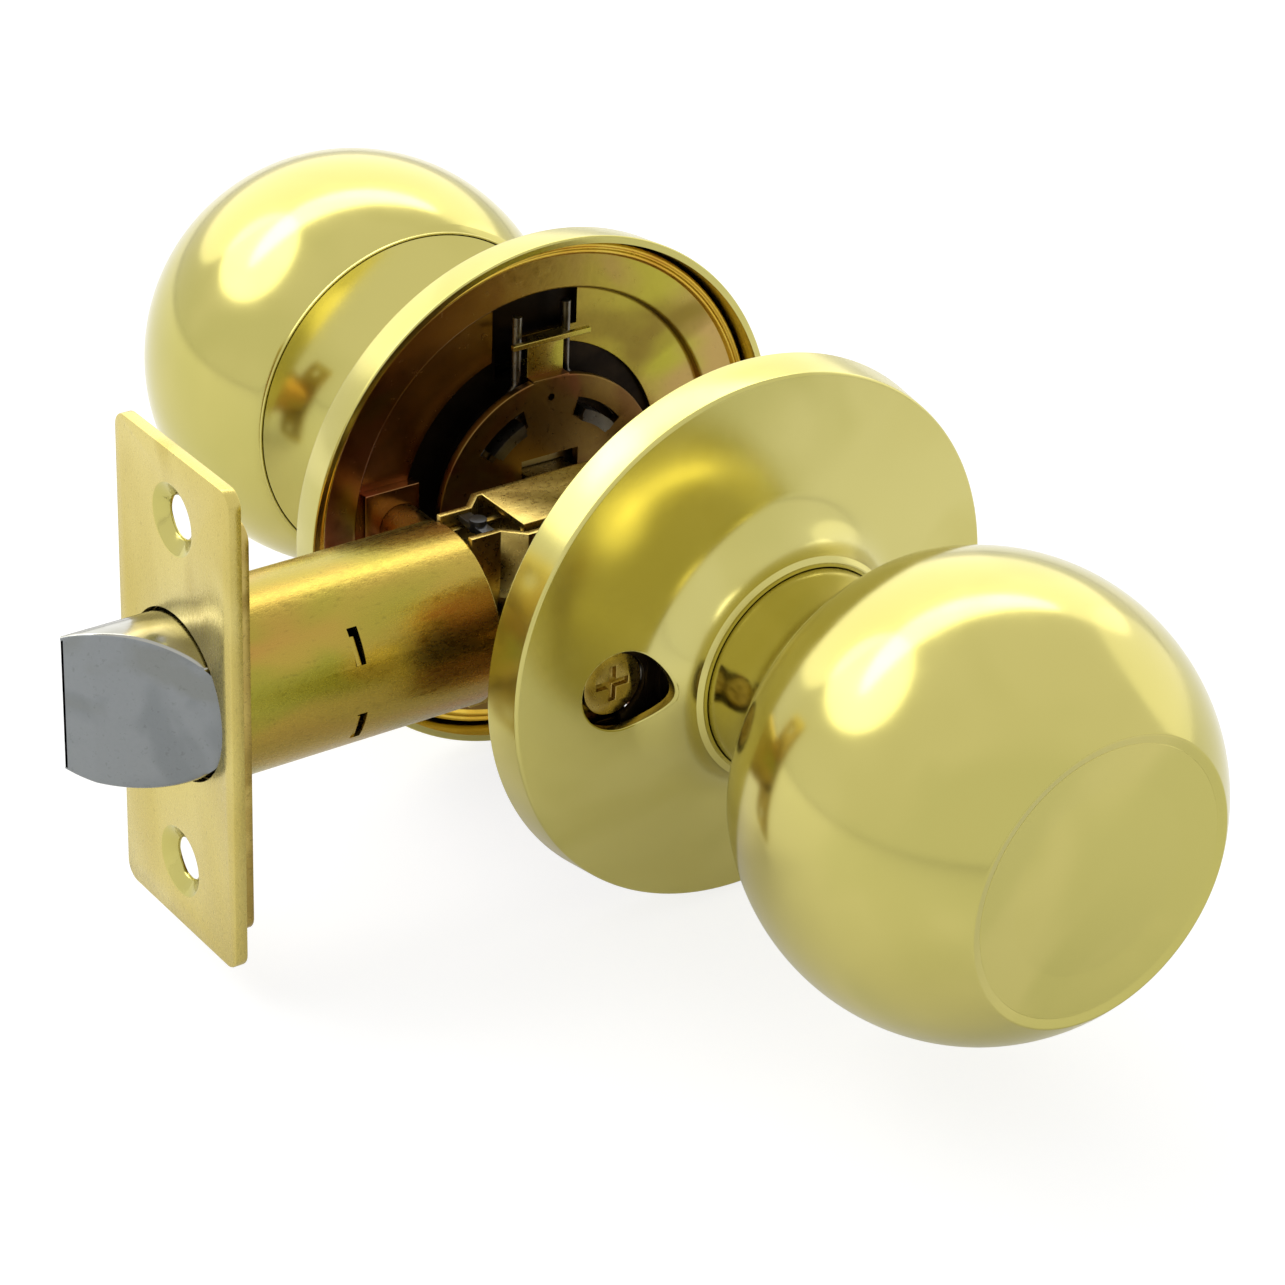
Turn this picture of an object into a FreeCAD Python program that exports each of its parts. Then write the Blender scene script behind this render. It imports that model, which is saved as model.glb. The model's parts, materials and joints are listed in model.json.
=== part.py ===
"""Passage door knob set: two ball knobs on sprung roses, a square spindle and a tubular spring latch.

Frame, in millimetres: the spindle turns about Y, the latch bolt slides along X and both axes cross at the
origin, half way through the door. The bolt points to -X, the inside knob is at -Y, the outside knob at +Y.
"""
import FreeCAD, Part
import math
import os

import Sketcher

Vector = FreeCAD.Vector

SIZES = {
    # door and the cross holes it is bored with
    "door_thickness": 36.0,
    "backset": 60.0,
    "screw_place": 19.0,
    # knob: a spun ball with a flat, slightly sunk face and a rolled lip where the neck goes in
    "knob_radius": 26.0,
    "knob_reach": 43.5,
    "knob_sheet": 0.9,
    "knob_lip_set": 14.2,
    "knob_lip_width": 0.85,
    "face_radius": 16.6,
    "face_sink": 0.7,
    "face_ease": 1.2,
    # neck: a trumpet that narrows to a sleeve round the shank
    "neck_radius": 12.3,
    "neck_tuck": 0.06,
    "neck_flare_radius": 15.6,
    "neck_inner_end": 8.5,
    # rose: a pressed dish with a collar that the neck turns in
    "rose_radius": 32.2,
    "rose_taper": 0.6,
    "rose_depth": 4.75,
    "rose_sheet": 0.9,
    "rose_dome": 1.8,
    "rose_edge_ease": 0.4,
    "fillet_sweep": 82.0,
    "collar_radius": 13.5,
    "collar_depth": 13.0,
    "collar_straight": 0.5,
    "rose_hole_radius": 4.8,
    # mounting plate under the rose
    "plate_sheet": 0.7,
    "plate_lift": 2.5,
    "plate_gap": 0.25,
    "plate_rim_width": 5.8,
    "plate_face_depth": 3.8,
    "plate_opening": 17.8,
    "window_width": 11.7,
    "window_low": 19.3,
    "window_height": 4.2,
    "leg_slot_width": 2.0,
    "pocket_depth": 2.4,
    "pocket_width": 8.4,
    "pocket_start": 16.4,
    "pocket_end": 23.7,
    # spring cup, coil and legs
    "cup_radius": 15.1,
    "cup_sheet": 0.6,
    "cup_drop": 0.4,
    "cup_flange_radius": 18.6,
    "spring_wire": 1.2,
    "spring_radius": 13.4,
    "spring_pitch": 1.1,
    "spring_turns": 1.0,
    "leg_spread": 3.7,
    "leg_top": 23.0,
    # driver disc with its T-shaped tab
    "driver_radius": 15.2,
    "driver_sheet": 1.1,
    "driver_hole_width": 7.9,
    "driver_hole_height": 10.6,
    "driver_mark_radius": 0.45,
    "driver_mark_place": 12.7,
    "tab_width": 5.0,
    "tab_sheet": 0.6,
    "tab_set": 1.4,
    "tab_reach": 3.6,
    "tab_top": 20.3,
    "tab_bar_width": 10.7,
    "tab_bar_depth": 0.7,
    "stop_width": 4.8,
    "prong_lean": 35.0,
    "prong_spread": 13.0,
    "prong_slot_spread": 17.0,
    "prong_slot_radius": 12.4,
    "claw_spread": 12.0,
    "claw_reach": 1.5,
    "claw_height": 0.9,
    # shank, its bush and its snap ring
    "shank_radius": 11.3,
    "shank_sheet": 1.0,
    "shank_end": 22.0,
    "running_gap": 0.06,
    "seat_gap": 0.03,
    "bush_wall": 1.0,
    "bush_flange": 14.0,
    "bush_flange_thickness": 0.9,
    "ring_sheet": 0.8,
    "ring_radius": 13.0,
    "ring_groove": 0.4,
    # spindle and the plugs that it drives
    "spindle_side": 6.5,
    "spindle_play": 0.08,
    "spindle_half_length": 29.0,
    "hub_start": 2.0,
    "hub_end": 13.0,
    # machine screws and the posts they pull on
    "screw_radius": 2.0,
    "screw_clearance": 0.15,
    "screw_head_radius": 3.7,
    "screw_head_height": 1.5,
    "screw_reach": 12.0,
    "cross_width": 0.9,
    "cross_length": 4.2,
    "cross_depth": 0.8,
    "post_radius": 2.8,
    "post_end": 7.0,
    # latch front
    "faceplate_height": 58.0,
    "faceplate_width": 24.0,
    "faceplate_sheet": 1.5,
    "faceplate_corner": 2.0,
    "faceplate_screw_spacing": 42.0,
    "faceplate_hole": 2.4,
    "countersink_radius": 4.1,
    "countersink_depth": 1.1,
    "backplate_height": 49.5,
    "backplate_width": 23.4,
    "backplate_sheet": 1.0,
    "backplate_hole": 4.5,
    # latch tube
    "tube_radius": 10.55,
    "tube_sheet": 0.8,
    "tube_end": 25.2,
    "dimple_place": 43.0,
    "dimple_width": 2.7,
    "dimple_length": 4.6,
    "dimple_depth": 1.5,
    # bolt
    "bolt_radius": 9.35,
    "bolt_play": 0.35,
    "bolt_throw": 11.5,
    "bolt_flat": 4.6,
    "bolt_nose": 0.9,
    "bolt_rear": 48.5,
    "bolt_bore": 5.0,
    "bolt_bore_end": 61.5,
    "bolt_slot_end": 65.0,
    "pin_place": 63.2,
    "pin_radius": 1.0,
    "pin_half_length": 8.6,
    # bolt spring, draw bar and spring seat
    "coil_radius": 4.2,
    "coil_wire": 0.8,
    "coil_turns": 6,
    "bar_width": 3.6,
    "bar_sheet": 1.6,
    "seat_place": 35.1,
    "seat_sheet": 0.8,
    # folded tail case
    "case_sheet": 0.8,
    "case_waist": 2.8,
    "case_half_width": 5.0,
    "case_height": 21.2,
    "case_waist_end": 20.8,
    "case_shoulder": 18.6,
    "case_tail": 13.0,
    "case_neck_height": 16.0,
    "case_gap": 0.3,
    "lid_front": 18.0,
    "lid_near_edge": 2.7,
    "lid_lip": 1.6,
    "wing_slot": 9.0,
    "bridge_place": 21.8,
    "bridge_width": 1.6,
    "bridge_rise": 0.3,
    "rivet_radius": 1.0,
    "rivet_head": 1.6,
    "rivet_height": 0.6,
    "rivet_back": 2.0,
    "rivet_lift": 7.5,
    # retractor and cam
    "retractor_sheet": 0.8,
    "retractor_half_width": 1.7,
    "web_place": 34.0,
    "rail_low": 6.3,
    "rail_high": 9.1,
    "lug_low": 8.0,
    "lug_face": 4.15,
    "lug_sheet": 1.5,
    "cam_radius": 5.5,
    "cam_shoulder": 5.95,
    "cam_play": 0.2,
    "wing_radius": 10.6,
    "wing_tip": 0.8,
    "wing_lean": 33.0,
    "wing_sheet": 2.8,
}

doc = FreeCAD.newDocument("door_knob_set")
sheet = doc.addObject("Spreadsheet::Sheet", "Sizes")


class Formula:
    """A size and the expression that FreeCAD keeps for it, so that each formula is written once."""

    def __init__(self, text, value):
        self.text = text
        self.value = value

    def __add__(self, other):
        other = formula(other)
        return Formula(f"({self.text} + {other.text})", self.value + other.value)

    def __sub__(self, other):
        other = formula(other)
        return Formula(f"({self.text} - {other.text})", self.value - other.value)

    def __mul__(self, other):
        other = formula(other)
        return Formula(f"({self.text} * {other.text})", self.value * other.value)

    def __truediv__(self, other):
        other = formula(other)
        return Formula(f"({self.text} / {other.text})", self.value / other.value)

    def __radd__(self, other):
        return formula(other) + self

    def __rsub__(self, other):
        return formula(other) - self

    def __rmul__(self, other):
        return formula(other) * self

    def __neg__(self):
        return Formula(f"(0 - {self.text})", -self.value)


def formula(number):
    return number if isinstance(number, Formula) else Formula(repr(float(number)), float(number))


def root(size):
    return Formula(f"sqrt({size.text})", math.sqrt(size.value))


def square(size):
    return size * size


def sine(degrees):
    degrees = formula(degrees)
    return Formula(f"sin({degrees.text} * 1deg)", math.sin(math.radians(degrees.value)))


def cosine(degrees):
    degrees = formula(degrees)
    return Formula(f"cos({degrees.text} * 1deg)", math.cos(math.radians(degrees.value)))


class Sizes:
    pass


S = Sizes()
for row, (alias, number) in enumerate(SIZES.items(), start=1):
    sheet.set(f"A{row}", alias)
    sheet.set(f"B{row}", str(number))
    sheet.setAlias(f"B{row}", alias)
    setattr(S, alias, Formula(f"Sizes.{alias}", number))
doc.recompute()

FACE = S.door_thickness / 2
FAR = 200.0


# ---- helpers: bound primitives, sketches and booleans ----

def bind(thing, path, size):
    """Set a property to a size and keep its formula."""
    size = formula(size)
    if "." not in path:
        setattr(thing, path, size.value)
    thing.setExpression(path, size.text)


def place(thing, x=0, y=0, z=0, axis=None, degrees=0):
    """Turn a primitive about an axis through its own origin and bind where it stands."""
    if axis is not None:
        thing.Placement = FreeCAD.Placement(Vector(0, 0, 0), FreeCAD.Rotation(Vector(*axis), degrees))
    for path, size in (("x", x), ("y", y), ("z", z)):
        bind(thing, f".Placement.Base.{path}", size)
    return thing


def block(name, x, y, z):
    """A box from its three (low, high) pairs."""
    box = doc.addObject("Part::Box", name)
    for prop, (low, high) in (("Length", x), ("Width", y), ("Height", z)):
        bind(box, prop, formula(high) - formula(low))
    return place(box, x[0], y[0], z[0])


ALONG = {"x": ((0, 1, 0), 90), "y": ((1, 0, 0), -90), "z": (None, 0)}


def rod(name, radius, start, end, along, a=0, b=0):
    """A cylinder along an axis from start to end; a and b are its other two coordinates, in X, Y, Z order."""
    cylinder = doc.addObject("Part::Cylinder", name)
    bind(cylinder, "Radius", radius)
    bind(cylinder, "Height", formula(end) - formula(start))
    axis, degrees = ALONG[along]
    where = {"x": (start, a, b), "y": (a, start, b), "z": (a, b, start)}[along]
    return place(cylinder, *where, axis=axis, degrees=degrees)


def cone(name, radius_start, radius_end, start, end, along, a=0, b=0):
    taper = doc.addObject("Part::Cone", name)
    bind(taper, "Radius1", radius_start)
    bind(taper, "Radius2", radius_end)
    bind(taper, "Height", formula(end) - formula(start))
    axis, degrees = ALONG[along]
    where = {"x": (start, a, b), "y": (a, start, b), "z": (a, b, start)}[along]
    return place(taper, *where, axis=axis, degrees=degrees)


def fused(name, shapes):
    join = doc.addObject("Part::MultiFuse", name)
    join.Shapes = shapes
    join.Refine = True
    return join


def cut(name, base, tools):
    """The base less one tool or several."""
    result = doc.addObject("Part::Cut", name)
    result.Base = base
    result.Tool = tools[0] if len(tools) == 1 else fused(f"{name}_tools", tools)
    result.Refine = True
    return result


def origin_plane(body, role):
    return next(item for item in body.Origin.OriginFeatures if item.Role == role)


def sketch_on(body, role, name, lift=0):
    """A sketch on one of the body's own planes, lifted along the plane's normal."""
    sketch = body.newObject("Sketcher::SketchObject", name)
    sketch.AttachmentSupport = [(origin_plane(body, role), "")]
    sketch.MapMode = "FlatFace"
    bind(sketch, ".AttachmentOffset.Base.z", lift)
    return sketch


def hold(sketch, edge, end, x, y):
    """Fix one end of an edge at its two bound distances from the sketch's origin."""
    for kind, axis_line, size in (("DistanceX", -2, formula(x)), ("DistanceY", -1, formula(y))):
        if size.value == 0:
            sketch.addConstraint(Sketcher.Constraint("PointOnObject", edge, end, axis_line))
            continue
        index = sketch.addConstraint(Sketcher.Constraint(kind, -1, 1, edge, end, size.value))
        sketch.setExpression(f"Constraints[{index}]", size.text)


def outline(sketch, corners):
    """A closed outline of straight edges and arcs.

    Each corner is (x, y), or (x, y, radius) where an arc arrives at it: a positive radius turns left.
    """
    ends = []
    for number, corner in enumerate(corners):
        before = corners[number - 1]
        start = Vector(formula(before[0]).value, formula(before[1]).value, 0)
        stop = Vector(formula(corner[0]).value, formula(corner[1]).value, 0)
        if len(corner) == 2:
            edge = sketch.addGeometry(Part.LineSegment(start, stop), False)
            ends.append((edge, 1, 2))
            continue
        radius = formula(corner[2])
        chord = stop - start
        rise = math.sqrt(max(radius.value**2 - (chord.Length / 2) ** 2, 0))
        left = Vector(-chord.y, chord.x, 0).normalize()
        centre = (start + stop) * 0.5 + left * math.copysign(rise, radius.value)
        first, last = (start, stop) if radius.value > 0 else (stop, start)
        angles = [math.atan2(p.y - centre.y, p.x - centre.x) for p in (first, last)]
        circle = Part.Circle(centre, Vector(0, 0, 1), abs(radius.value))
        edge = sketch.addGeometry(Part.ArcOfCircle(circle, *angles), False)
        ends.append((edge, 1, 2) if radius.value > 0 else (edge, 2, 1))
        size = radius if radius.value > 0 else -radius
        index = sketch.addConstraint(Sketcher.Constraint("Radius", edge, size.value))
        sketch.setExpression(f"Constraints[{index}]", size.text)
    for (edge, start_end, stop_end), corner, following in zip(ends, corners, ends[1:] + ends[:1]):
        sketch.addConstraint(Sketcher.Constraint("Coincident", edge, stop_end, following[0], following[1]))
        hold(sketch, edge, stop_end, corner[0], corner[1])


def new_body(name):
    return doc.addObject("PartDesign::Body", name)


def turned(name, corners, axis="V_Axis", degrees=360.0, middle=False):
    """A body turned about the Y axis (V_Axis) or the X axis (H_Axis) from an outline in the XY plane."""
    body = new_body(name)
    sketch = sketch_on(body, "XY_Plane", f"{name}_profile")
    outline(sketch, corners)
    spin = body.newObject("PartDesign::Revolution", f"{name}_turn")
    spin.Profile = (sketch, [""])
    spin.ReferenceAxis = (sketch, [axis])
    bind(spin, "Angle", degrees)
    spin.Midplane = middle
    return body


def sector(name, inner, outer, low, high, spread, lean):
    """A slice of a ring about Y between two depths, spread degrees to each side of a lean from straight up."""
    body = turned(name, [(inner, low), (outer, low), (outer, high), (inner, high)],
                  degrees=formula(spread) * 2, middle=True)
    body.Placement = FreeCAD.Placement(Vector(0, 0, 0), FreeCAD.Rotation(Vector(0, 1, 0), -90))
    turn = FreeCAD.Rotation(Vector(0, 1, 0), formula(lean).value)
    body.Placement = FreeCAD.Placement(Vector(0, 0, 0), turn * body.Placement.Rotation)
    return body


def padded(name, role, corners, low, high):
    """A body extruded from an outline on an origin plane between two heights along that plane's axis."""
    body = new_body(name)
    lift = -formula(high) if role == "XZ_Plane" else formula(low)
    sketch = sketch_on(body, role, f"{name}_outline", lift)
    outline(sketch, corners)
    pad = body.newObject("PartDesign::Pad", f"{name}_pad")
    pad.Profile = (sketch, [""])
    bind(pad, "Length", formula(high) - formula(low))
    return body


def winding(radius, turns, rise, start, steps):
    """Points up a coil about the first axis: (rise, up, across) from a start angle, in radians."""
    points = []
    for step in range(steps + 1):
        share = step / steps
        angle = start + math.tau * turns * share
        points.append(Vector(rise * share, radius * math.cos(angle), radius * math.sin(angle)))
    return points


def bent_wire(name, points, thickness, sides):
    """A wire with a section of a few sides, bent along a line of points with mitred corners."""
    run = (points[1] - points[0]).normalize()
    across = run.cross(Vector(0, 1, 0) if abs(run.y) < 0.9 else Vector(1, 0, 0)).normalize()
    up = run.cross(across)
    corners = []
    for side in range(sides + 1):
        angle = math.tau * (side + 0.5) / sides
        corners.append(points[0] + (across * math.cos(angle) + up * math.sin(angle)) * (thickness / 2))
    wire = doc.addObject("Part::Feature", name)
    wire.Shape = Part.makePolygon(points).makePipeShell([Part.makePolygon(corners)], True, False, 1)
    return wire


NODES = []
INSIDE = FreeCAD.Placement(Vector(0, 0, 0), FreeCAD.Rotation(Vector(0, 0, 1), 180))


def node(label, thing):
    """Give a finished sub-part its name."""
    thing.Label = label
    NODES.append(thing)
    return thing


def for_side(side, label, thing):
    """A sub-part drawn on the outside of the door; the inside one is turned half round about Z."""
    if side == "inside":
        thing.Placement = INSIDE * thing.Placement
    return node(f"{side}_{label}", thing)


# ---- one side of the set: knob, rose, plate, spring, driver ----

LIP = FACE + S.knob_reach - S.knob_lip_set
LIP_RADIUS = root(square(S.knob_radius) - square(S.knob_lip_set))
BALL_INNER = S.knob_radius - S.knob_sheet
MOUTH_RADIUS = LIP_RADIUS - S.knob_lip_width
NECK_BORE = S.shank_radius + S.seat_gap

PLATE_FACE = FACE + S.plate_face_depth
PLATE_BACK = PLATE_FACE + S.plate_sheet
POCKET_FACE = FACE + S.pocket_depth
POCKET_BACK = POCKET_FACE + S.plate_sheet
CUP_FLOOR = PLATE_BACK + S.cup_drop
CUP_BACK = CUP_FLOOR + S.cup_sheet
BUSH_BORE = S.shank_radius + S.running_gap
BUSH_RADIUS = BUSH_BORE + S.bush_wall
BUSH_BACK = CUP_BACK + S.bush_flange_thickness
DRIVER_BACK = FACE + S.driver_sheet
TAB_FACE = FACE + S.tab_set
TAB_BACK = TAB_FACE + S.tab_sheet
SCREW_HOLE = S.screw_radius + S.screw_clearance


def knob_shell(side):
    """Ball from the rolled lip to the eased edge of the sunk face."""
    centre = FACE + S.knob_reach
    rim = centre + root(square(S.knob_radius) - square(S.face_radius))
    floor = rim - S.face_sink
    inner_floor = floor - S.knob_sheet
    inner_lip = LIP + S.knob_lip_width
    corners = [
        (MOUTH_RADIUS, LIP),
        (LIP_RADIUS, LIP),
        (S.face_radius, rim, S.knob_radius),
        (S.face_radius - S.face_ease, floor, S.face_ease * -2),
        (0, floor),
        (0, inner_floor),
        (root(square(BALL_INNER) - square(inner_floor - centre)), inner_floor),
        (root(square(BALL_INNER) - square(centre - inner_lip)), inner_lip, -BALL_INNER),
        (MOUTH_RADIUS, inner_lip),
    ]
    return for_side(side, "knob_shell", turned(f"{side}_knob_shell_body", corners))


def knob_neck(side):
    """Trumpet from the sleeve on the shank to its rim tucked under the shell's lip."""
    start = FACE + S.neck_inner_end
    mouth = MOUTH_RADIUS - S.seat_gap
    across = S.neck_radius + S.neck_flare_radius - mouth
    flare = LIP - S.neck_tuck - root(square(S.neck_flare_radius) - square(across))
    inner_flare_radius = S.neck_radius + S.neck_flare_radius - NECK_BORE
    corners = [
        (NECK_BORE, start),
        (S.neck_radius, start),
        (S.neck_radius, flare),
        (mouth, flare + root(square(S.neck_flare_radius) - square(across)), -S.neck_flare_radius),
        (mouth, flare + root(square(inner_flare_radius) - square(across))),
        (NECK_BORE, flare, inner_flare_radius),
    ]
    return for_side(side, "knob_neck", turned(f"{side}_knob_neck_body", corners))


def shank(side):
    """Drawn sleeve: groove for the snap ring, and four prongs bent over the driver."""
    start = DRIVER_BACK + S.running_gap
    end = FACE + S.shank_end
    inner = S.shank_radius - S.shank_sheet
    groove = S.shank_radius - S.ring_groove
    groove_start = BUSH_BACK + S.running_gap
    groove_end = groove_start + S.ring_sheet + S.running_gap * 2
    sleeve = turned(f"{side}_shank_sleeve", [
        (inner, start),
        (S.shank_radius, start),
        (S.shank_radius, groove_start),
        (groove, groove_start),
        (groove, groove_end),
        (S.shank_radius, groove_end),
        (S.shank_radius, end),
        (inner, end),
    ])
    pieces = [sleeve]
    claw_end = FACE - S.seat_gap
    for number, lean in enumerate(prong_leans()):
        pieces.append(sector(f"{side}_prong_{number}", inner, S.shank_radius,
                             claw_end - S.claw_height, start + S.shank_sheet, S.prong_spread, lean))
        pieces.append(sector(f"{side}_claw_{number}", S.shank_radius - S.claw_reach, S.shank_radius,
                             claw_end - S.claw_height, claw_end, S.claw_spread, lean))
    return for_side(side, "shank", fused(f"{side}_shank_body", pieces))


def prong_leans():
    return [S.prong_lean, -S.prong_lean, 180 - S.prong_lean, S.prong_lean - 180]


def spindle_hub(side):
    """Plug pressed into the shank, with a square hole for the spindle."""
    start = FACE + S.hub_start
    end = FACE + S.hub_end
    plug = rod(f"{side}_hub_plug", S.shank_radius - S.shank_sheet - S.seat_gap, start, end, "y")
    half = S.spindle_side / 2 + S.spindle_play
    hole = block(f"{side}_hub_hole", (-half, half), (start - 1, end + 1), (-half, half))
    return for_side(side, "spindle_hub", cut(f"{side}_hub_body", plug, [hole]))


def retaining_ring(side):
    """Snap ring in the shank's groove, open at the bottom."""
    low = BUSH_BACK + S.running_gap * 2
    bore = S.shank_radius - S.ring_groove + S.seat_gap
    ring = turned(f"{side}_ring_full", [
        (bore, low), (S.ring_radius, low), (S.ring_radius, low + S.ring_sheet), (bore, low + S.ring_sheet)])
    mouth = S.ring_radius / 3
    gap = block(f"{side}_ring_mouth", (-mouth, mouth), (low - 1, low + S.ring_sheet + 1),
                (S.ring_radius * -1.2, 0))
    return for_side(side, "retaining_ring", cut(f"{side}_ring_body", ring, [gap]))


def bush(side):
    """Bearing that the shank turns in and the spring is wound round."""
    start = DRIVER_BACK + S.plate_gap
    corners = [
        (BUSH_BORE, start),
        (BUSH_RADIUS, start),
        (BUSH_RADIUS, CUP_BACK + S.seat_gap),
        (S.bush_flange, CUP_BACK + S.seat_gap),
        (S.bush_flange, BUSH_BACK),
        (BUSH_BORE, BUSH_BACK),
    ]
    return for_side(side, "bush", turned(f"{side}_bush_body", corners))


def rose(side):
    """Pressed dish: tapered rim, crisp edge, shallow dome and a fillet that swells into the collar."""
    edge = FACE + S.rose_depth
    dome_top = edge + S.rose_dome
    collar_end = FACE + S.collar_depth
    foot = collar_end - S.collar_straight
    fillet = (foot - dome_top) / sine(S.fillet_sweep)
    centre = S.collar_radius + fillet
    inner_fillet = fillet + S.rose_sheet
    brow = S.rose_radius - S.rose_taper
    corners = [
        (S.rose_radius - S.rose_sheet, FACE),
        (S.rose_radius, FACE),
        (brow, edge - S.rose_edge_ease),
        (brow - S.rose_edge_ease, edge, S.rose_edge_ease),
        (centre - fillet * cosine(S.fillet_sweep), dome_top),
        (S.collar_radius, foot, -fillet),
        (S.collar_radius, collar_end),
        (S.collar_radius - S.rose_sheet, collar_end),
        (S.collar_radius - S.rose_sheet, foot),
        (centre - inner_fillet * cosine(S.fillet_sweep), foot - inner_fillet * sine(S.fillet_sweep),
         inner_fillet),
        (brow - S.rose_sheet, edge - S.rose_sheet),
    ]
    dish = turned(f"{side}_rose_dish", corners)
    if side == "outside":
        return for_side(side, "rose", dish)
    holes = [rod(f"{side}_rose_hole_{number}", S.rose_hole_radius, FACE, collar_end, "y", a=x)
             for number, x in enumerate((S.screw_place, -S.screw_place))]
    return for_side(side, "rose", cut(f"{side}_rose_body", dish, holes))


def mounting_plate(side):
    """Stepped plate with a round opening, a window for the spring legs and two pressed screw pockets."""
    ring_face = FACE + S.plate_lift
    ring_back = ring_face + S.plate_sheet
    rim = (S.rose_radius - S.rose_sheet - S.plate_gap
           - S.rose_taper * (S.plate_lift + S.plate_sheet) / S.rose_depth)
    step_back = S.rose_radius - S.rose_sheet - S.plate_rim_width
    step = step_back - S.plate_sheet
    plate = turned(f"{side}_plate_dish", [
        (S.plate_opening, PLATE_FACE),
        (step, PLATE_FACE),
        (step, ring_face),
        (rim, ring_face),
        (rim, ring_back),
        (step_back, ring_back),
        (step_back, PLATE_BACK),
        (S.plate_opening, PLATE_BACK),
    ])
    through = (PLATE_FACE - 1, PLATE_BACK + 1)
    half = S.window_width / 2
    half_slot = S.leg_slot_width / 2
    windows = [block(f"{side}_window", (-half, half), through,
                     (S.window_low, S.window_low + S.window_height)),
               block(f"{side}_leg_slot", (-half, half_slot - S.leg_spread), through,
                     (S.plate_opening - 1, S.window_low + half_slot))]
    half_stop = S.stop_width / 2
    pockets = [block(f"{side}_plate_stop", (-half_stop, half_stop), (TAB_BACK + S.plate_gap, PLATE_BACK),
                     (S.window_low - S.plate_sheet, S.window_low))]
    holes = []
    half_pocket = S.pocket_width / 2
    wall = S.plate_sheet
    for number, sign in enumerate((1, -1)):
        reach = sorted((S.pocket_start * sign, S.pocket_end * sign), key=lambda size: size.value)
        windows.append(block(f"{side}_pocket_mouth_{number}", reach, through, (-half_pocket, half_pocket)))
        pan = block(f"{side}_pocket_pan_{number}", reach, (POCKET_FACE, PLATE_BACK),
                    (-half_pocket - wall, half_pocket + wall))
        inner = sorted(((S.pocket_start - 1) * sign, (S.pocket_end - wall) * sign),
                       key=lambda size: size.value)
        hollow = block(f"{side}_pocket_hollow_{number}", inner, (POCKET_BACK, PLATE_BACK + 1),
                       (-half_pocket, half_pocket))
        pockets.append(cut(f"{side}_pocket_{number}", pan, [hollow]))
        holes.append(rod(f"{side}_plate_hole_{number}", SCREW_HOLE, FACE, PLATE_BACK + 1, "y",
                         a=S.screw_place * sign))
    pierced = cut(f"{side}_plate_pierced", plate, windows)
    whole = fused(f"{side}_plate_whole", [pierced] + pockets)
    return for_side(side, "mounting_plate", cut(f"{side}_plate_body", whole, holes))


def spring_cup(side):
    """Dark dish behind the opening that houses the spring; notched for a leg and for the screws."""
    bore = BUSH_RADIUS + S.seat_gap
    flange = PLATE_BACK + S.seat_gap
    cup = turned(f"{side}_cup_dish", [
        (bore, CUP_FLOOR),
        (S.cup_radius - S.cup_sheet, CUP_FLOOR),
        (S.cup_radius - S.cup_sheet, flange),
        (S.cup_flange_radius, flange),
        (S.cup_flange_radius, flange + S.cup_sheet),
        (S.cup_radius, flange + S.cup_sheet),
        (S.cup_radius, CUP_BACK),
        (bore, CUP_BACK),
    ])
    notch = S.leg_spread + S.spring_wire
    low = S.cup_radius - S.cup_sheet * 2
    cuts = [block(f"{side}_cup_notch", (-notch, notch), (flange - 1, CUP_BACK + 1),
                  (low, S.cup_flange_radius + 1))]
    for number, sign in enumerate((1, -1)):
        cuts.append(rod(f"{side}_cup_relief_{number}", S.screw_head_radius + S.screw_clearance,
                        flange - 1, CUP_BACK + 1, "y", a=S.screw_place * sign))
    return for_side(side, "spring_cup", cut(f"{side}_cup_body", cup, cuts))


def return_spring(side):
    """Torsion spring round the bush; both legs stand up across the plate's window, one a little deeper."""
    start = (DRIVER_BACK + S.spring_wire / 2 + S.plate_gap).value
    radius, leg, top = S.spring_radius.value, S.leg_spread.value, S.leg_top.value
    lean = math.asin(leg / radius)
    turns = S.spring_turns.value - lean / math.pi
    rise = S.spring_pitch.value * turns
    wound = [Vector(-p.z, start + p.x, p.y) for p in winding(radius, turns, rise, lean, 40)]
    path = [Vector(-leg, start, top)] + wound + [Vector(leg, start + rise, top)]
    return for_side(side, "return_spring", bent_wire(f"{side}_spring_wire", path, S.spring_wire.value, 8))


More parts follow.
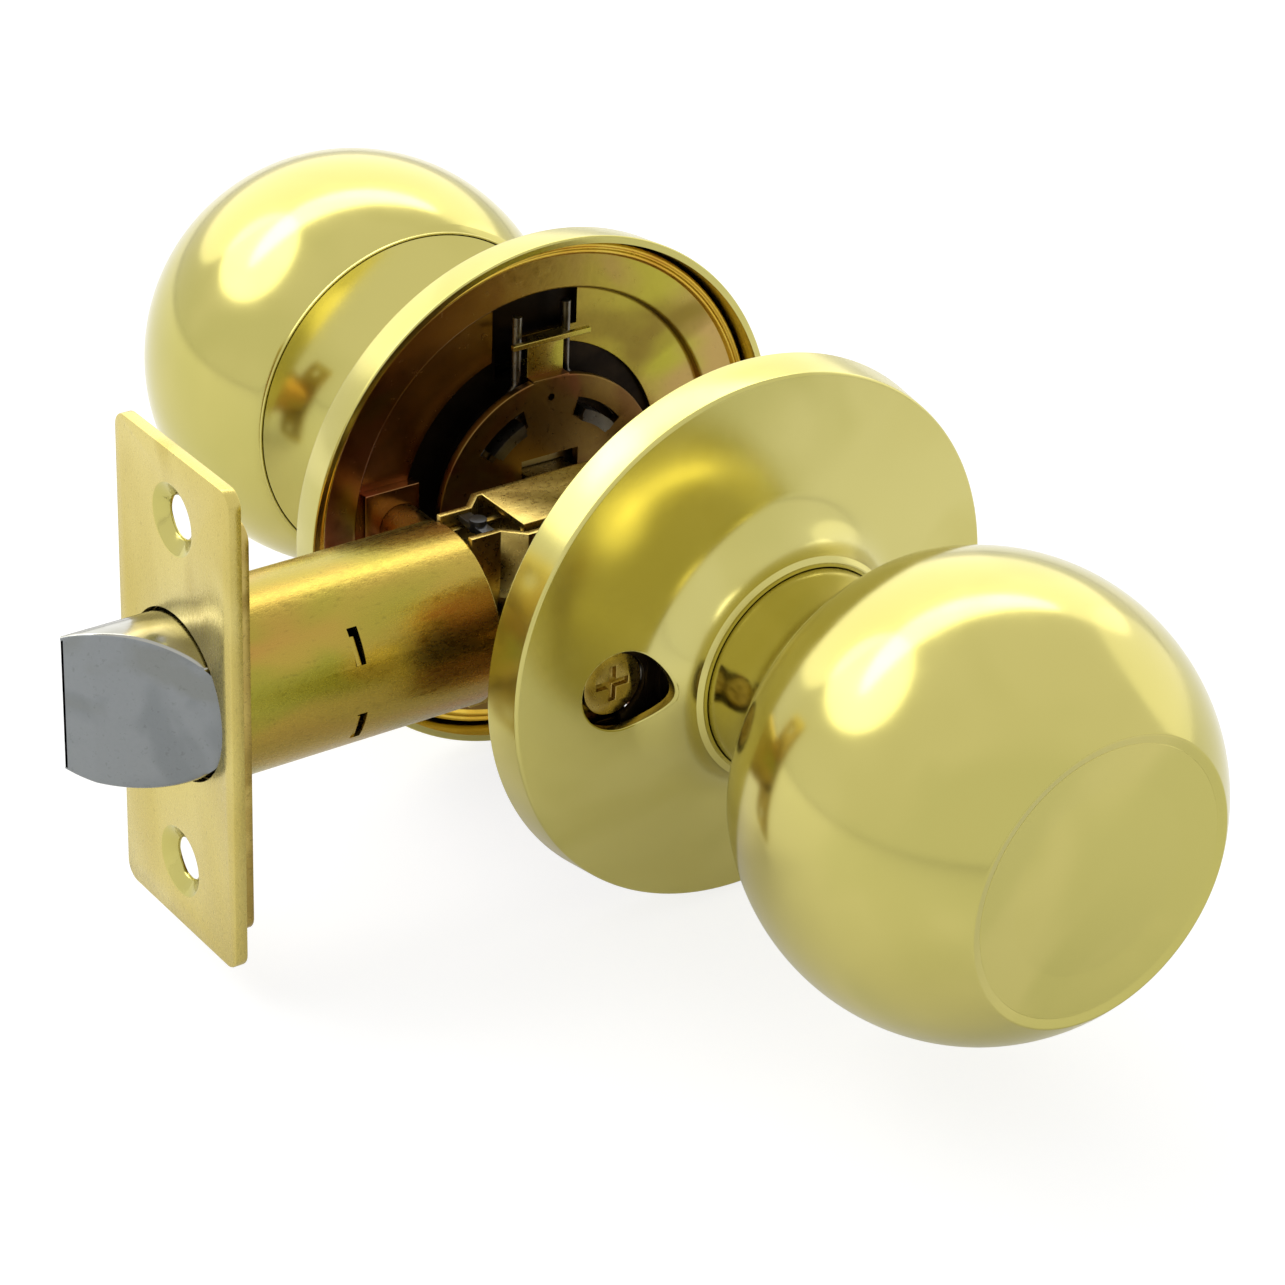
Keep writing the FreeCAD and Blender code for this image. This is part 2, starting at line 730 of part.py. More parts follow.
def driver(side):
    """Disc that the shank's prongs grip, with the folded T-shaped tab that winds the spring."""
    disc = rod(f"{side}_driver_disc", S.driver_radius, FACE, DRIVER_BACK, "y")
    through = (FACE - 1, DRIVER_BACK + 1)
    half_width = S.driver_hole_width / 2
    half_height = S.driver_hole_height / 2
    cuts = [block(f"{side}_driver_hole", (-half_width, half_width), through, (-half_height, half_height))]
    for number, lean in enumerate(prong_leans()):
        cuts.append(sector(f"{side}_driver_slot_{number}", S.shank_radius - S.shank_sheet - S.plate_gap,
                           S.prong_slot_radius, through[0], through[1], S.prong_slot_spread, lean))
    cuts.append(rod(f"{side}_driver_mark", S.driver_mark_radius, through[0], through[1], "y",
                    b=S.driver_mark_place))
    slotted = cut(f"{side}_driver_slotted", disc, cuts)
    half_tab = S.tab_width / 2
    half_bar = S.tab_bar_width / 2
    top = (S.tab_top - S.tab_sheet, S.tab_top)
    fold = block(f"{side}_driver_fold", (-half_tab, half_tab), (FACE, FACE + S.tab_reach),
                 (S.driver_radius - S.tab_sheet, S.driver_radius))
    stem = block(f"{side}_driver_stem", (-half_tab, half_tab), (TAB_FACE, TAB_BACK),
                 (S.driver_radius - S.tab_sheet, S.tab_top))
    lip = block(f"{side}_driver_lip", (-half_tab, half_tab), (FACE, TAB_BACK), top)
    bar = block(f"{side}_driver_bar", (-half_bar, half_bar), (FACE, FACE + S.tab_bar_depth), top)
    return for_side(side, "driver", fused(f"{side}_driver_body", [slotted, fold, stem, lip, bar]))


# ---- what joins the two sides ----

def spindle():
    half = S.spindle_side / 2
    reach = S.spindle_half_length
    return node("spindle", block("spindle_bar", (-half, half), (-reach, reach), (-half, half)))


def mounting_screws():
    """Two cross-head machine screws: heads in the inside plate's pockets, tips in the outside posts."""
    screws = []
    seat = -POCKET_BACK
    top = seat - S.screw_head_height
    for number, sign in enumerate((1, -1)):
        x = S.screw_place * sign
        shaft = rod(f"screw_shaft_{number}", S.screw_radius, seat - S.screw_head_height / 2,
                    S.screw_reach, "y", a=x)
        head = rod(f"screw_head_{number}", S.screw_head_radius, top, seat - S.seat_gap, "y", a=x)
        floor = top + S.cross_depth
        long, short = S.cross_length / 2, S.cross_width / 2
        cross = [block(f"screw_cross_{number}_{turn}", (x - a, x + a), (top - 1, floor), (-b, b))
                 for turn, (a, b) in enumerate(((long, short), (short, long)))]
        screws.append(cut(f"screw_{number}", fused(f"screw_blank_{number}", [shaft, head]), cross))
    pair = doc.addObject("Part::Compound", "screw_pair")
    pair.Links = screws
    return node("mounting_screws", pair)


def outside_posts():
    """Two threaded posts riveted to the outside plate's pockets."""
    posts = []
    for number, sign in enumerate((1, -1)):
        x = S.screw_place * sign
        seat = POCKET_FACE - S.seat_gap
        tube = rod(f"post_tube_{number}", S.post_radius, S.post_end, seat, "y", a=x)
        neck = rod(f"post_rivet_{number}", SCREW_HOLE - S.seat_gap, seat - 1, POCKET_BACK + S.plate_sheet,
                   "y", a=x)
        head = rod(f"post_head_{number}", S.post_radius, POCKET_BACK + S.seat_gap,
                   POCKET_BACK + S.plate_sheet, "y", a=x)
        bore = rod(f"post_bore_{number}", S.screw_radius + S.seat_gap, S.post_end - 1, FACE, "y", a=x)
        posts.append(cut(f"post_{number}", fused(f"post_blank_{number}", [tube, neck, head]), [bore]))
    pair = doc.addObject("Part::Compound", "post_pair")
    pair.Links = posts
    return node("outside_posts", pair)


# ---- latch ----

FRONT = -S.backset
FRONT_BACK = FRONT + S.faceplate_sheet
TUBE_FRONT = FRONT_BACK + S.backplate_sheet
TUBE_INNER = S.tube_radius - S.tube_sheet
BOLT_HOLE = S.bolt_radius + S.bolt_play
BOLT_TIP = FRONT - S.bolt_throw


def rounded(width, height, corner):
    """Outline of a plate centred on the origin with rounded corners."""
    right, top = width / 2, height / 2
    return [
        (right, corner - top),
        (right, top - corner),
        (right - corner, top, corner),
        (corner - right, top),
        (-right, top - corner, corner),
        (-right, corner - top),
        (corner - right, -top, corner),
        (right - corner, -top),
        (right, corner - top, corner),
    ][1:]


def latch_faceplate():
    plate = padded("faceplate_blank", "YZ_Plane",
                   rounded(S.faceplate_width, S.faceplate_height, S.faceplate_corner), FRONT, FRONT_BACK)
    cuts = [rod("faceplate_bolt_hole", BOLT_HOLE, FRONT - 1, FRONT_BACK + 1, "x")]
    for number, sign in enumerate((1, -1)):
        z = S.faceplate_screw_spacing / 2 * sign
        cuts.append(rod(f"faceplate_hole_{number}", S.faceplate_hole, FRONT - 1, FRONT_BACK + 1, "x", b=z))
        cuts.append(cone(f"faceplate_sink_{number}", S.countersink_radius, S.faceplate_hole,
                         FRONT, FRONT + S.countersink_depth, "x", b=z))
    return node("latch_faceplate", cut("faceplate_body", plate, cuts))


def latch_backplate():
    plate = padded("backplate_blank", "YZ_Plane",
                   rounded(S.backplate_width, S.backplate_height, S.faceplate_corner),
                   FRONT_BACK, TUBE_FRONT)
    cuts = [rod("backplate_bolt_hole", BOLT_HOLE, FRONT_BACK - 1, TUBE_FRONT + 1, "x")]
    for number, sign in enumerate((1, -1)):
        z = S.faceplate_screw_spacing / 2 * sign
        cuts.append(rod(f"backplate_hole_{number}", S.backplate_hole, FRONT_BACK - 1, TUBE_FRONT + 1,
                        "x", b=z))
    return node("latch_backplate", cut("backplate_body", plate, cuts))


DIMPLE_TURNS = (30.0, -25.0)


def round_latch_axis(thing, degrees):
    """Turn a tool drawn on the tube's near side (-Y) up round the latch axis."""
    turn = FreeCAD.Placement(Vector(0, 0, 0), FreeCAD.Rotation(Vector(1, 0, 0), -degrees))
    group = doc.addObject("Part::Compound", f"{thing.Name}_turned")
    group.Links = [thing]
    group.Placement = turn
    return group


def latch_tube():
    """Drawn tube with two lanced dimples that guide the bolt."""
    blank = turned("tube_blank", [
        (TUBE_FRONT, TUBE_INNER), (-S.tube_end, TUBE_INNER), (-S.tube_end, S.tube_radius),
        (TUBE_FRONT, S.tube_radius)], axis="H_Axis")
    low, high = -S.dimple_place - S.dimple_width / 2, -S.dimple_place + S.dimple_width / 2
    half = S.dimple_length / 2
    slots = []
    tongues = []
    for number, degrees in enumerate(DIMPLE_TURNS):
        slot = block(f"dimple_slot_{number}", (low, high), (-S.tube_radius - 1, -TUBE_INNER + S.tube_sheet),
                     (-half, half))
        slots.append(round_latch_axis(slot, degrees))
        tongue = padded(f"dimple_tongue_{number}", "YZ_Plane", [
            (-S.tube_radius + S.tube_sheet / 2, -half - S.tube_sheet / 2),
            (-TUBE_INNER + S.dimple_depth, half - S.tube_sheet),
            (-TUBE_INNER + S.dimple_depth - S.tube_sheet, half - S.tube_sheet),
            (-S.tube_radius, -half - S.tube_sheet / 2),
        ], low + S.bolt_play, high - S.bolt_play)
        tongues.append(round_latch_axis(tongue, degrees))
    pierced = cut("tube_pierced", blank, slots)
    return node("latch_tube", fused("tube_body", [pierced] + tongues))


def latch_bolt():
    """Bolt head: ramp on the near side, flat back, bore for the spring, slot for the draw bar."""
    blank = rod("bolt_blank", S.bolt_radius, BOLT_TIP, -S.bolt_rear, "x")
    ramp_root = FRONT - S.bolt_play
    ramp = padded("bolt_ramp", "XY_Plane", [
        (ramp_root, -S.bolt_radius - 0.01),
        (BOLT_TIP + S.bolt_nose, S.bolt_flat - S.bolt_nose),
        (BOLT_TIP, S.bolt_flat - S.bolt_nose / 2),
        (BOLT_TIP - 1, S.bolt_flat - S.bolt_nose / 2),
        (BOLT_TIP - 1, -S.bolt_radius - 1),
        (ramp_root, -S.bolt_radius - 1),
    ], -S.bolt_radius - 1, S.bolt_radius + 1)
    flat = block("bolt_back", (BOLT_TIP - 1, ramp_root), (S.bolt_flat, S.bolt_radius + 1),
                 (-S.bolt_radius - 1, S.bolt_radius + 1))
    bore = rod("bolt_bore", S.bolt_bore, -S.bolt_bore_end, 1 - S.bolt_rear, "x")
    half_width = S.bar_width / 2 + S.seat_gap
    half_bar = S.bar_sheet / 2 + S.seat_gap
    slot = block("bolt_slot", (-S.bolt_slot_end, 1 - S.bolt_rear), (-half_width, half_width),
                 (-half_bar, half_bar))
    pin = rod("bolt_pin_hole", S.pin_radius + S.seat_gap, -FAR, FAR, "z", a=-S.pin_place)
    cuts = [ramp, flat, bore, slot, pin]
    groove_front = -S.dimple_place - S.dimple_width / 2 - S.bolt_throw - S.bolt_play
    half = S.dimple_length / 2 + S.tube_sheet + S.bolt_play
    for number, degrees in enumerate(DIMPLE_TURNS):
        groove = block(f"bolt_groove_{number}", (groove_front, 1 - S.bolt_rear),
                       (-S.bolt_radius - 1, -TUBE_INNER + S.dimple_depth + S.bolt_play), (-half, half))
        cuts.append(round_latch_axis(groove, degrees))
    return node("latch_bolt", cut("bolt_body", blank, cuts))


def bolt_pin():
    reach = S.pin_half_length
    return node("bolt_pin", rod("bolt_pin_rod", S.pin_radius, -reach, reach, "z", a=-S.pin_place))


def draw_bar():
    """Flat bar from the pin in the bolt to the retractor's web, peened over behind it."""
    half_width = S.bar_width / 2
    half = S.bar_sheet / 2
    bar = block("draw_bar_strip", (S.cam_play - S.bolt_slot_end, -S.web_place + S.retractor_sheet * 1.5),
                (-half_width, half_width), (-half, half))
    hole = rod("draw_bar_hole", S.pin_radius + S.seat_gap, -FAR, FAR, "z", a=-S.pin_place)
    return node("draw_bar", cut("draw_bar_body", bar, [hole]))


def bolt_spring():
    """Compression spring from the bottom of the bolt's bore to the seat."""
    margin = S.coil_wire.value * 0.6
    start = margin - S.bolt_bore_end.value
    length = S.bolt_bore_end.value - S.seat_place.value - margin * 2
    steps = round(14 * S.coil_turns.value)
    wound = [p + Vector(start, 0, 0)
             for p in winding(S.coil_radius.value, S.coil_turns.value, length, 0, steps)]
    return node("bolt_spring", bent_wire("bolt_spring_wire", wound, S.coil_wire.value, 6))


def spring_seat():
    """Disc across the tube that the bolt spring pushes on, slotted for the draw bar."""
    start = -S.seat_place
    end = start + S.seat_sheet
    disc = rod("seat_disc", TUBE_INNER - S.seat_gap * 3, start, end, "x")
    half_width = S.bar_width / 2 + S.cam_play
    half = S.bar_sheet / 2 + S.cam_play
    slot = block("seat_slot", (start - 1, end + 1), (-half_width, half_width), (-half, half))
    return node("spring_seat", cut("seat_body", disc, [slot]))


def retractor():
    """Fork: a web on the draw bar, four rails past the screw, and a lug in front of each cam wing."""
    sheet_in = S.retractor_half_width
    sheet_out = sheet_in + S.retractor_sheet
    front = -S.web_place
    lug_end = S.lug_sheet - S.lug_face
    pieces = [block("retractor_web", (front, front + S.retractor_sheet), (-sheet_out, sheet_out),
                    (-S.rail_high, S.rail_high))]
    for level, (low, high, lug_from, lug_to) in enumerate((
            (S.rail_low, S.rail_high, S.lug_low, S.rail_high),
            (-S.rail_high, -S.rail_low, -S.rail_high, -S.lug_low))):
        for number, (near, far) in enumerate(((sheet_in, sheet_out), (-sheet_out, -sheet_in))):
            pieces.append(block(f"rail_{level}_{number}", (front, lug_end), (near, far), (low, high)))
        pieces.append(block(f"lug_{level}", (-S.lug_face, lug_end), (-sheet_out, sheet_out),
                            (lug_from, lug_to)))
    half_width = S.bar_width / 2 + S.seat_gap
    half = S.bar_sheet / 2 + S.seat_gap
    slot = block("retractor_slot", (front - 1, front + 1), (-half_width, half_width), (-half, half))
    return node("retractor", cut("retractor_body", fused("retractor_blank", pieces), [slot]))


def latch_cam():
    """Hub with a square hole, journals in both case halves and a wing for each way of turning."""
    journal = S.case_half_width + S.case_sheet
    shoulder = S.case_half_width - S.cam_play
    hub = turned("cam_hub", [
        (0, -journal),
        (S.cam_radius, -journal),
        (S.cam_radius, -shoulder),
        (S.cam_shoulder, -shoulder),
        (S.cam_shoulder, shoulder),
        (S.cam_radius, shoulder),
        (S.cam_radius, journal),
        (0, journal),
    ])
    pieces = [hub]
    half_sheet = S.wing_sheet / 2
    for number, lean in enumerate((-S.wing_lean.value, 180 + S.wing_lean.value)):
        wing = padded(f"cam_wing_{number}", "XZ_Plane", [
            (S.wing_tip, S.wing_tip),
            (S.wing_tip, S.wing_radius),
            (-S.wing_tip, S.wing_radius, S.wing_tip * 1.05),
            (-S.wing_tip, S.wing_tip),
        ], -half_sheet, half_sheet)
        wing.Placement = FreeCAD.Placement(Vector(0, 0, 0), FreeCAD.Rotation(Vector(0, 1, 0), lean))
        pieces.append(wing)
    half = S.spindle_side / 2 + S.spindle_play
    hole = block("cam_hole", (-half, half), (-FAR, FAR), (-half, half))
    return node("latch_cam", cut("cam_body", fused("cam_blank", pieces), [hole]))


CASE_TOP = S.case_height / 2
LID_UNDER = CASE_TOP - S.case_sheet
CASE_OUTER = S.case_half_width + S.case_sheet
CASE_FRONT = -S.tube_end + S.case_gap
NECK_FRONT = -S.seat_place + S.seat_sheet + S.seat_gap


def case_wall(name, sign):
    """One side of the tail case: a low neck inside the tube, a waist, a shoulder and a straight tail."""
    ease = S.case_sheet * math.tan(math.radians(22.5))
    inner = [(CASE_FRONT, S.case_waist), (-S.case_waist_end, S.case_waist),
             (-S.case_shoulder, S.case_half_width), (S.case_tail, S.case_half_width)]
    outer = [(S.case_tail, CASE_OUTER), (-S.case_shoulder - ease, CASE_OUTER),
             (-S.case_waist_end - ease, S.case_waist + S.case_sheet),
             (CASE_FRONT, S.case_waist + S.case_sheet)]
    wall = padded(f"{name}_wall", "XY_Plane", [(x, y * sign) for x, y in inner + outer],
                  -CASE_TOP, CASE_TOP)
    neck_half = S.case_neck_height / 2
    waist = sorted((S.case_waist * sign, (S.case_waist + S.case_sheet) * sign), key=lambda size: size.value)
    neck = block(f"{name}_neck", (NECK_FRONT, CASE_FRONT + 1), waist, (-neck_half, neck_half))
    return [wall, neck]


def case_holes(name):
    """Journal hole for the cam, clearance for the screw, and the rivet holes."""
    half = S.screw_radius + S.cam_play * 2
    holes = [rod(f"{name}_journal", S.cam_radius + S.running_gap, -FAR, FAR, "y"),
             block(f"{name}_screw_gap", (-S.screw_place - half, half - S.screw_place), (-FAR, FAR),
                   (-half, half))]
    for number, sign in enumerate((1, -1)):
        holes.append(rod(f"{name}_rivet_hole_{number}", S.rivet_radius + S.seat_gap, -FAR, FAR, "y",
                         a=S.case_tail - S.rivet_back, b=S.rivet_lift * sign))
    return holes


def case_far_half():
    """Far side of the tail case with the folded lids, their near lips and the end wall."""
    pieces = case_wall("case_far", 1)
    near = -S.lid_near_edge
    for level, sign in enumerate((1, -1)):
        lid = sorted((LID_UNDER * sign, CASE_TOP * sign), key=lambda size: size.value)
        lip = sorted(((CASE_TOP - S.lid_lip) * sign, CASE_TOP * sign), key=lambda size: size.value)
        pieces.append(block(f"lid_{level}", (-S.lid_front, S.case_tail), (near, CASE_OUTER), lid))
        pieces.append(block(f"lid_lip_{level}", (-S.lid_front, S.case_tail), (near - S.case_sheet, near),
                            lip))
    pieces.append(block("case_end", (S.case_tail - S.case_sheet, S.case_tail), (near, CASE_OUTER),
                        (-CASE_TOP, CASE_TOP)))
    half_slot = S.wing_sheet / 2 + S.cam_play
    wings = block("wing_slots", (-S.wing_slot, S.wing_slot), (-half_slot, half_slot), (-FAR, FAR))
    whole = fused("case_far_blank", pieces)
    return node("case_far_half", cut("case_far_body", whole, case_holes("case_far") + [wings]))


def case_near_half():
    whole = fused("case_near_blank", case_wall("case_near", -1))
    return node("case_near_half", cut("case_near_body", whole, case_holes("case_near")))


def case_rivets():
    """Two rivets across the tail."""
    rivets = []
    for number, sign in enumerate((1, -1)):
        x = S.case_tail - S.rivet_back
        z = S.rivet_lift * sign
        reach = CASE_OUTER + S.rivet_height
        shaft = rod(f"rivet_shaft_{number}", S.rivet_radius, -reach, reach, "y", x, z)
        near_head = rod(f"rivet_near_{number}", S.rivet_head, -reach, -CASE_OUTER - S.seat_gap, "y", x, z)
        far_head = rod(f"rivet_far_{number}", S.rivet_head, CASE_OUTER + S.seat_gap, reach, "y", x, z)
        rivets.append(fused(f"rivet_{number}", [shaft, near_head, far_head]))
    pair = doc.addObject("Part::Compound", "rivet_pair")
    pair.Links = rivets
    return node("case_rivets", pair)


def bridge_studs():
    """Black bridge across each end of the case's waist, with its round stud."""
    studs = []
    inner = S.case_waist - S.seat_gap
    across = (-S.bridge_place - S.bridge_width / 2, S.bridge_width / 2 - S.bridge_place)
    under = S.rail_high + S.bridge_rise
    seat = under + S.case_sheet
    for number, sign in enumerate((1, -1)):
        level = sorted((under * sign, seat * sign), key=lambda size: size.value)
        low, high = sorted((under * sign, (seat + S.rivet_height) * sign), key=lambda size: size.value)
        strap = block(f"bridge_{number}", across, (-inner, inner), level)
        stud = rod(f"stud_{number}", S.rivet_radius, low, high, "z", a=-S.bridge_place)
        studs.append(fused(f"bridge_stud_{number}", [strap, stud]))
    pair = doc.addObject("Part::Compound", "stud_pair")
    pair.Links = studs
    return node("bridge_studs", pair)


for place_in_door in ("outside", "inside"):
    for make in (knob_shell, knob_neck, shank, spindle_hub, retaining_ring, bush, rose, mounting_plate,
                 spring_cup, return_spring, driver):
        make(place_in_door)
for make in (spindle, mounting_screws, outside_posts, latch_faceplate, latch_backplate, latch_tube,
             latch_bolt, bolt_pin, draw_bar, bolt_spring, spring_seat, retractor, latch_cam,
             case_far_half, case_near_half, case_rivets, bridge_studs):
    make()

doc.recompute()

faults = [f"{item.Label}: {item.State}" for item in doc.Objects
          if "Invalid" in item.State or "Error" in item.State]
faults += [f"{item.Label}: no valid shape" for item in NODES
           if item.Shape.isNull() or not item.Shape.isValid()]
if faults:
    raise SystemExit("\n".join(faults))

os.makedirs("parts", exist_ok=True)
for item in NODES:
    item.Shape.exportStep(f"parts/{item.Label}.step")
    print(f"{item.Label}: {len(item.Shape.Solids)} solids, {item.Shape.Volume:.1f} mm3")
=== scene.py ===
"""Looks of a passage door knob set: two ball knobs on round roses and a tubular spring latch.

Sizes are in millimetres unless a name or comment says otherwise; MM brings them to metres.
"""
import json
import math

import bmesh
import bpy
from mathutils import Matrix, Vector

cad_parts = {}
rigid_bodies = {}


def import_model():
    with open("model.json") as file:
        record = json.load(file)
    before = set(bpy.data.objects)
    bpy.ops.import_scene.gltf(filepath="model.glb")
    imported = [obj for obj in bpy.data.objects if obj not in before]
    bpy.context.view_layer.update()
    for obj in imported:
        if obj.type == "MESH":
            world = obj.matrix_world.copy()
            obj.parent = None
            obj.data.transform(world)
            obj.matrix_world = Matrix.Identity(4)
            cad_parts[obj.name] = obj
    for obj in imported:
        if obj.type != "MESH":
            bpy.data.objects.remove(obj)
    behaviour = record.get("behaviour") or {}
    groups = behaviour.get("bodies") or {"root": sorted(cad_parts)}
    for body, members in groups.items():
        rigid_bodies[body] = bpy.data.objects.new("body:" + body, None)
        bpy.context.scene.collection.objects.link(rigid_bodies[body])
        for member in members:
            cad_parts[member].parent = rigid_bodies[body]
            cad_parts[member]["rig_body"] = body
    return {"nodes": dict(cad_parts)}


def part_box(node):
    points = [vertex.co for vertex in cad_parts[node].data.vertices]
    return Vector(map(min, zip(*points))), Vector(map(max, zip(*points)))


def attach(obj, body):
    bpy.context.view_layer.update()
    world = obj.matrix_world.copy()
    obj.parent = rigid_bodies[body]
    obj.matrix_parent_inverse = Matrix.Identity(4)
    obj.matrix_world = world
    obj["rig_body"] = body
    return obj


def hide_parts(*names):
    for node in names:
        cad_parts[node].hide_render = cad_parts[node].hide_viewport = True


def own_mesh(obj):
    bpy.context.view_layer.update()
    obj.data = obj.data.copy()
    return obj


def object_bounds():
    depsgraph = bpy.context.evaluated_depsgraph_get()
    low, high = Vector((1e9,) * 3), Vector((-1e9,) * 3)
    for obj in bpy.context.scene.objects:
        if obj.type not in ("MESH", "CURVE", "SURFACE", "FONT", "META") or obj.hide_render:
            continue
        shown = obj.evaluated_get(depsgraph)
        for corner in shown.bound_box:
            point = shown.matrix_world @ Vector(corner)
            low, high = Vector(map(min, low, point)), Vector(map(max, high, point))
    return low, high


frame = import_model()
CAD_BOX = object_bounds()
NODES = frame["nodes"]
MM = 0.001
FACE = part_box("outside_rose")[0].y / MM
HALF_TURN = Matrix.Rotation(math.pi, 3, "Z")
CREASE = math.radians(32)
MERGE_WITHIN = 1e-8  # metres


# ---- camera, light and backdrop ----

LENS, SENSOR = 115.56, 36
CAMERA_AT = Vector((-0.24407, -0.33622, 0.22144))  # metres
CAMERA_BACK = Vector((-0.5143, -0.7048, 0.4886))
CAMERA_LEVEL = Vector((0.8078, -0.5895, 0))
CAMERA_ROLL = 2.237  # degrees
ROOM_GLOW, BACKDROP_GLOW = 0.55, 1.0


def set_camera():
    """A camera that looks against CAMERA_BACK, its level side turned by CAMERA_ROLL."""
    data = bpy.data.cameras.new("camera")
    data.lens = LENS
    data.sensor_width = SENSOR
    data.clip_end = 20
    camera = bpy.data.objects.new("camera", data)
    back = CAMERA_BACK.normalized()
    level = CAMERA_LEVEL.normalized()
    level = (level - back * level.dot(back)).normalized()
    upright = back.cross(level)
    roll = math.radians(CAMERA_ROLL)
    right = level * math.cos(roll) + upright * math.sin(roll)
    up = upright * math.cos(roll) - level * math.sin(roll)
    turn = Matrix((right, up, back)).transposed().to_4x4()
    camera.matrix_world = Matrix.Translation(CAMERA_AT) @ turn
    bpy.context.scene.collection.objects.link(camera)
    bpy.context.scene.camera = camera


def lamp(name, place, size, power):
    """An oval lamp that faces the origin."""
    data = bpy.data.lights.new(name, "AREA")
    data.shape = "ELLIPSE"
    data.size, data.size_y = size
    data.energy = power
    item = bpy.data.objects.new(name, data)
    item.location = place
    item.rotation_euler = (-Vector(place)).to_track_quat("-Z", "Y").to_euler()
    bpy.context.scene.collection.objects.link(item)


def set_world():
    """A white backdrop for seen, mirrored and refracted rays, and a dimmer room for the rest."""
    world = bpy.data.worlds.new("studio")
    bpy.context.scene.world = world
    world.use_nodes = True
    tree = world.node_tree
    tree.nodes.clear()
    path = tree.nodes.new("ShaderNodeLightPath")
    seen = tree.nodes.new("ShaderNodeMath")
    seen.operation = "MAXIMUM"
    tree.links.new(path.outputs["Is Camera Ray"], seen.inputs[0])
    tree.links.new(path.outputs["Is Transmission Ray"], seen.inputs[1])
    either = tree.nodes.new("ShaderNodeMath")
    either.operation = "MAXIMUM"
    tree.links.new(seen.outputs[0], either.inputs[0])
    tree.links.new(path.outputs["Is Glossy Ray"], either.inputs[1])
    room = tree.nodes.new("ShaderNodeBackground")
    room.inputs["Color"].default_value = (1, 1, 1, 1)
    room.inputs["Strength"].default_value = ROOM_GLOW
    white = tree.nodes.new("ShaderNodeBackground")
    white.inputs["Color"].default_value = (1, 1, 1, 1)
    white.inputs["Strength"].default_value = BACKDROP_GLOW
    mix = tree.nodes.new("ShaderNodeMixShader")
    tree.links.new(either.outputs[0], mix.inputs[0])
    tree.links.new(room.outputs[0], mix.inputs[1])
    tree.links.new(white.outputs[0], mix.inputs[2])
    out = tree.nodes.new("ShaderNodeOutputWorld")
    tree.links.new(mix.outputs[0], out.inputs["Surface"])


set_camera()
set_world()
bpy.context.scene.view_settings.view_transform = "Standard"


# ---- helpers for forms ----

def made(name, form, body, slot, *nodes, side="outside"):
    """Turn a form into a piece that rides on a body and stands for CAD nodes."""
    if side == "inside":
        bmesh.ops.rotate(form, cent=(0, 0, 0), matrix=HALF_TURN, verts=form.verts)
    mesh = bpy.data.meshes.new(name)
    form.to_mesh(mesh)
    form.free()
    mesh.shade_smooth()
    mesh.set_sharp_from_angle(angle=CREASE)
    piece = bpy.data.objects.new(name, mesh)
    bpy.context.scene.collection.objects.link(piece)
    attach(piece, body)
    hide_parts(*nodes)
    return piece


def eased(corners, steps=5):
    """A closed outline of corners (across, along, ease): each is rounded off by its ease."""
    points = []
    for number, corner in enumerate(corners):
        at = Vector(corner[:2])
        if len(corner) == 2:
            points.append(at)
            continue
        back = Vector(corners[number - 1][:2]) - at
        ahead = Vector(corners[(number + 1) % len(corners)][:2]) - at
        half = back.angle(ahead) / 2
        reach = min(corner[2] / math.tan(half), back.length * 0.48, ahead.length * 0.48)
        start = back.normalized() * reach
        stop = ahead.normalized() * reach
        centre = (back.normalized() + ahead.normalized()).normalized() * (reach / math.cos(half))
        first, last = start - centre, stop - centre
        for step in range(steps + 1):
            share = first.slerp(last, step / steps).normalized()
            points.append(at + centre + share * first.length)
    return points


def arc(across, along, radius, start, stop, steps):
    """Points of an arc; angles in degrees from straight out along the second axis towards the first."""
    points = []
    for step in range(steps + 1):
        angle = math.radians(start + (stop - start) * step / steps)
        points.append((across + radius * math.sin(angle), along + radius * math.cos(angle)))
    return points


def spun(outline, along="y", steps=160):
    """Spin a closed outline of (radius, place along the axis) full circle."""
    form = bmesh.new()
    if along == "y":
        axis = Vector((0, 1, 0))
        verts = [form.verts.new(Vector((r, a, 0)) * MM) for r, a in outline]
    else:
        axis = Vector((1, 0, 0))
        verts = [form.verts.new(Vector((a, r, 0)) * MM) for r, a in outline]
    edges = [form.edges.new((verts[i - 1], verts[i])) for i in range(len(verts))]
    bmesh.ops.spin(form, geom=verts + edges, cent=(0, 0, 0), axis=axis, angle=math.tau, steps=steps,
                   use_merge=True)
    bmesh.ops.remove_doubles(form, verts=form.verts, dist=MERGE_WITHIN)
    bmesh.ops.dissolve_degenerate(form, edges=form.edges, dist=MERGE_WITHIN)
    bmesh.ops.recalc_face_normals(form, faces=form.faces)
    return form


def out_from_door(outline):
    """Move an outline whose second size counts outwards from the door's face."""
    return [(point[0], FACE + point[1]) + tuple(point[2:]) for point in outline]


def slab(x, y, z, ease=0.0):
    """A block from its (low, high) pairs with eased edges."""
    form = bmesh.new()
    bmesh.ops.create_cube(form, size=1)
    size = Vector((x[1] - x[0], y[1] - y[0], z[1] - z[0])) * MM
    centre = Vector((x[0] + x[1], y[0] + y[1], z[0] + z[1])) * (MM / 2)
    bmesh.ops.scale(form, vec=size, verts=form.verts)
    bmesh.ops.translate(form, vec=centre, verts=form.verts)
    if ease:
        bmesh.ops.bevel(form, geom=form.edges[:], offset=ease * MM, segments=3, profile=0.5,
                        affect="EDGES", material=-1)
    return form


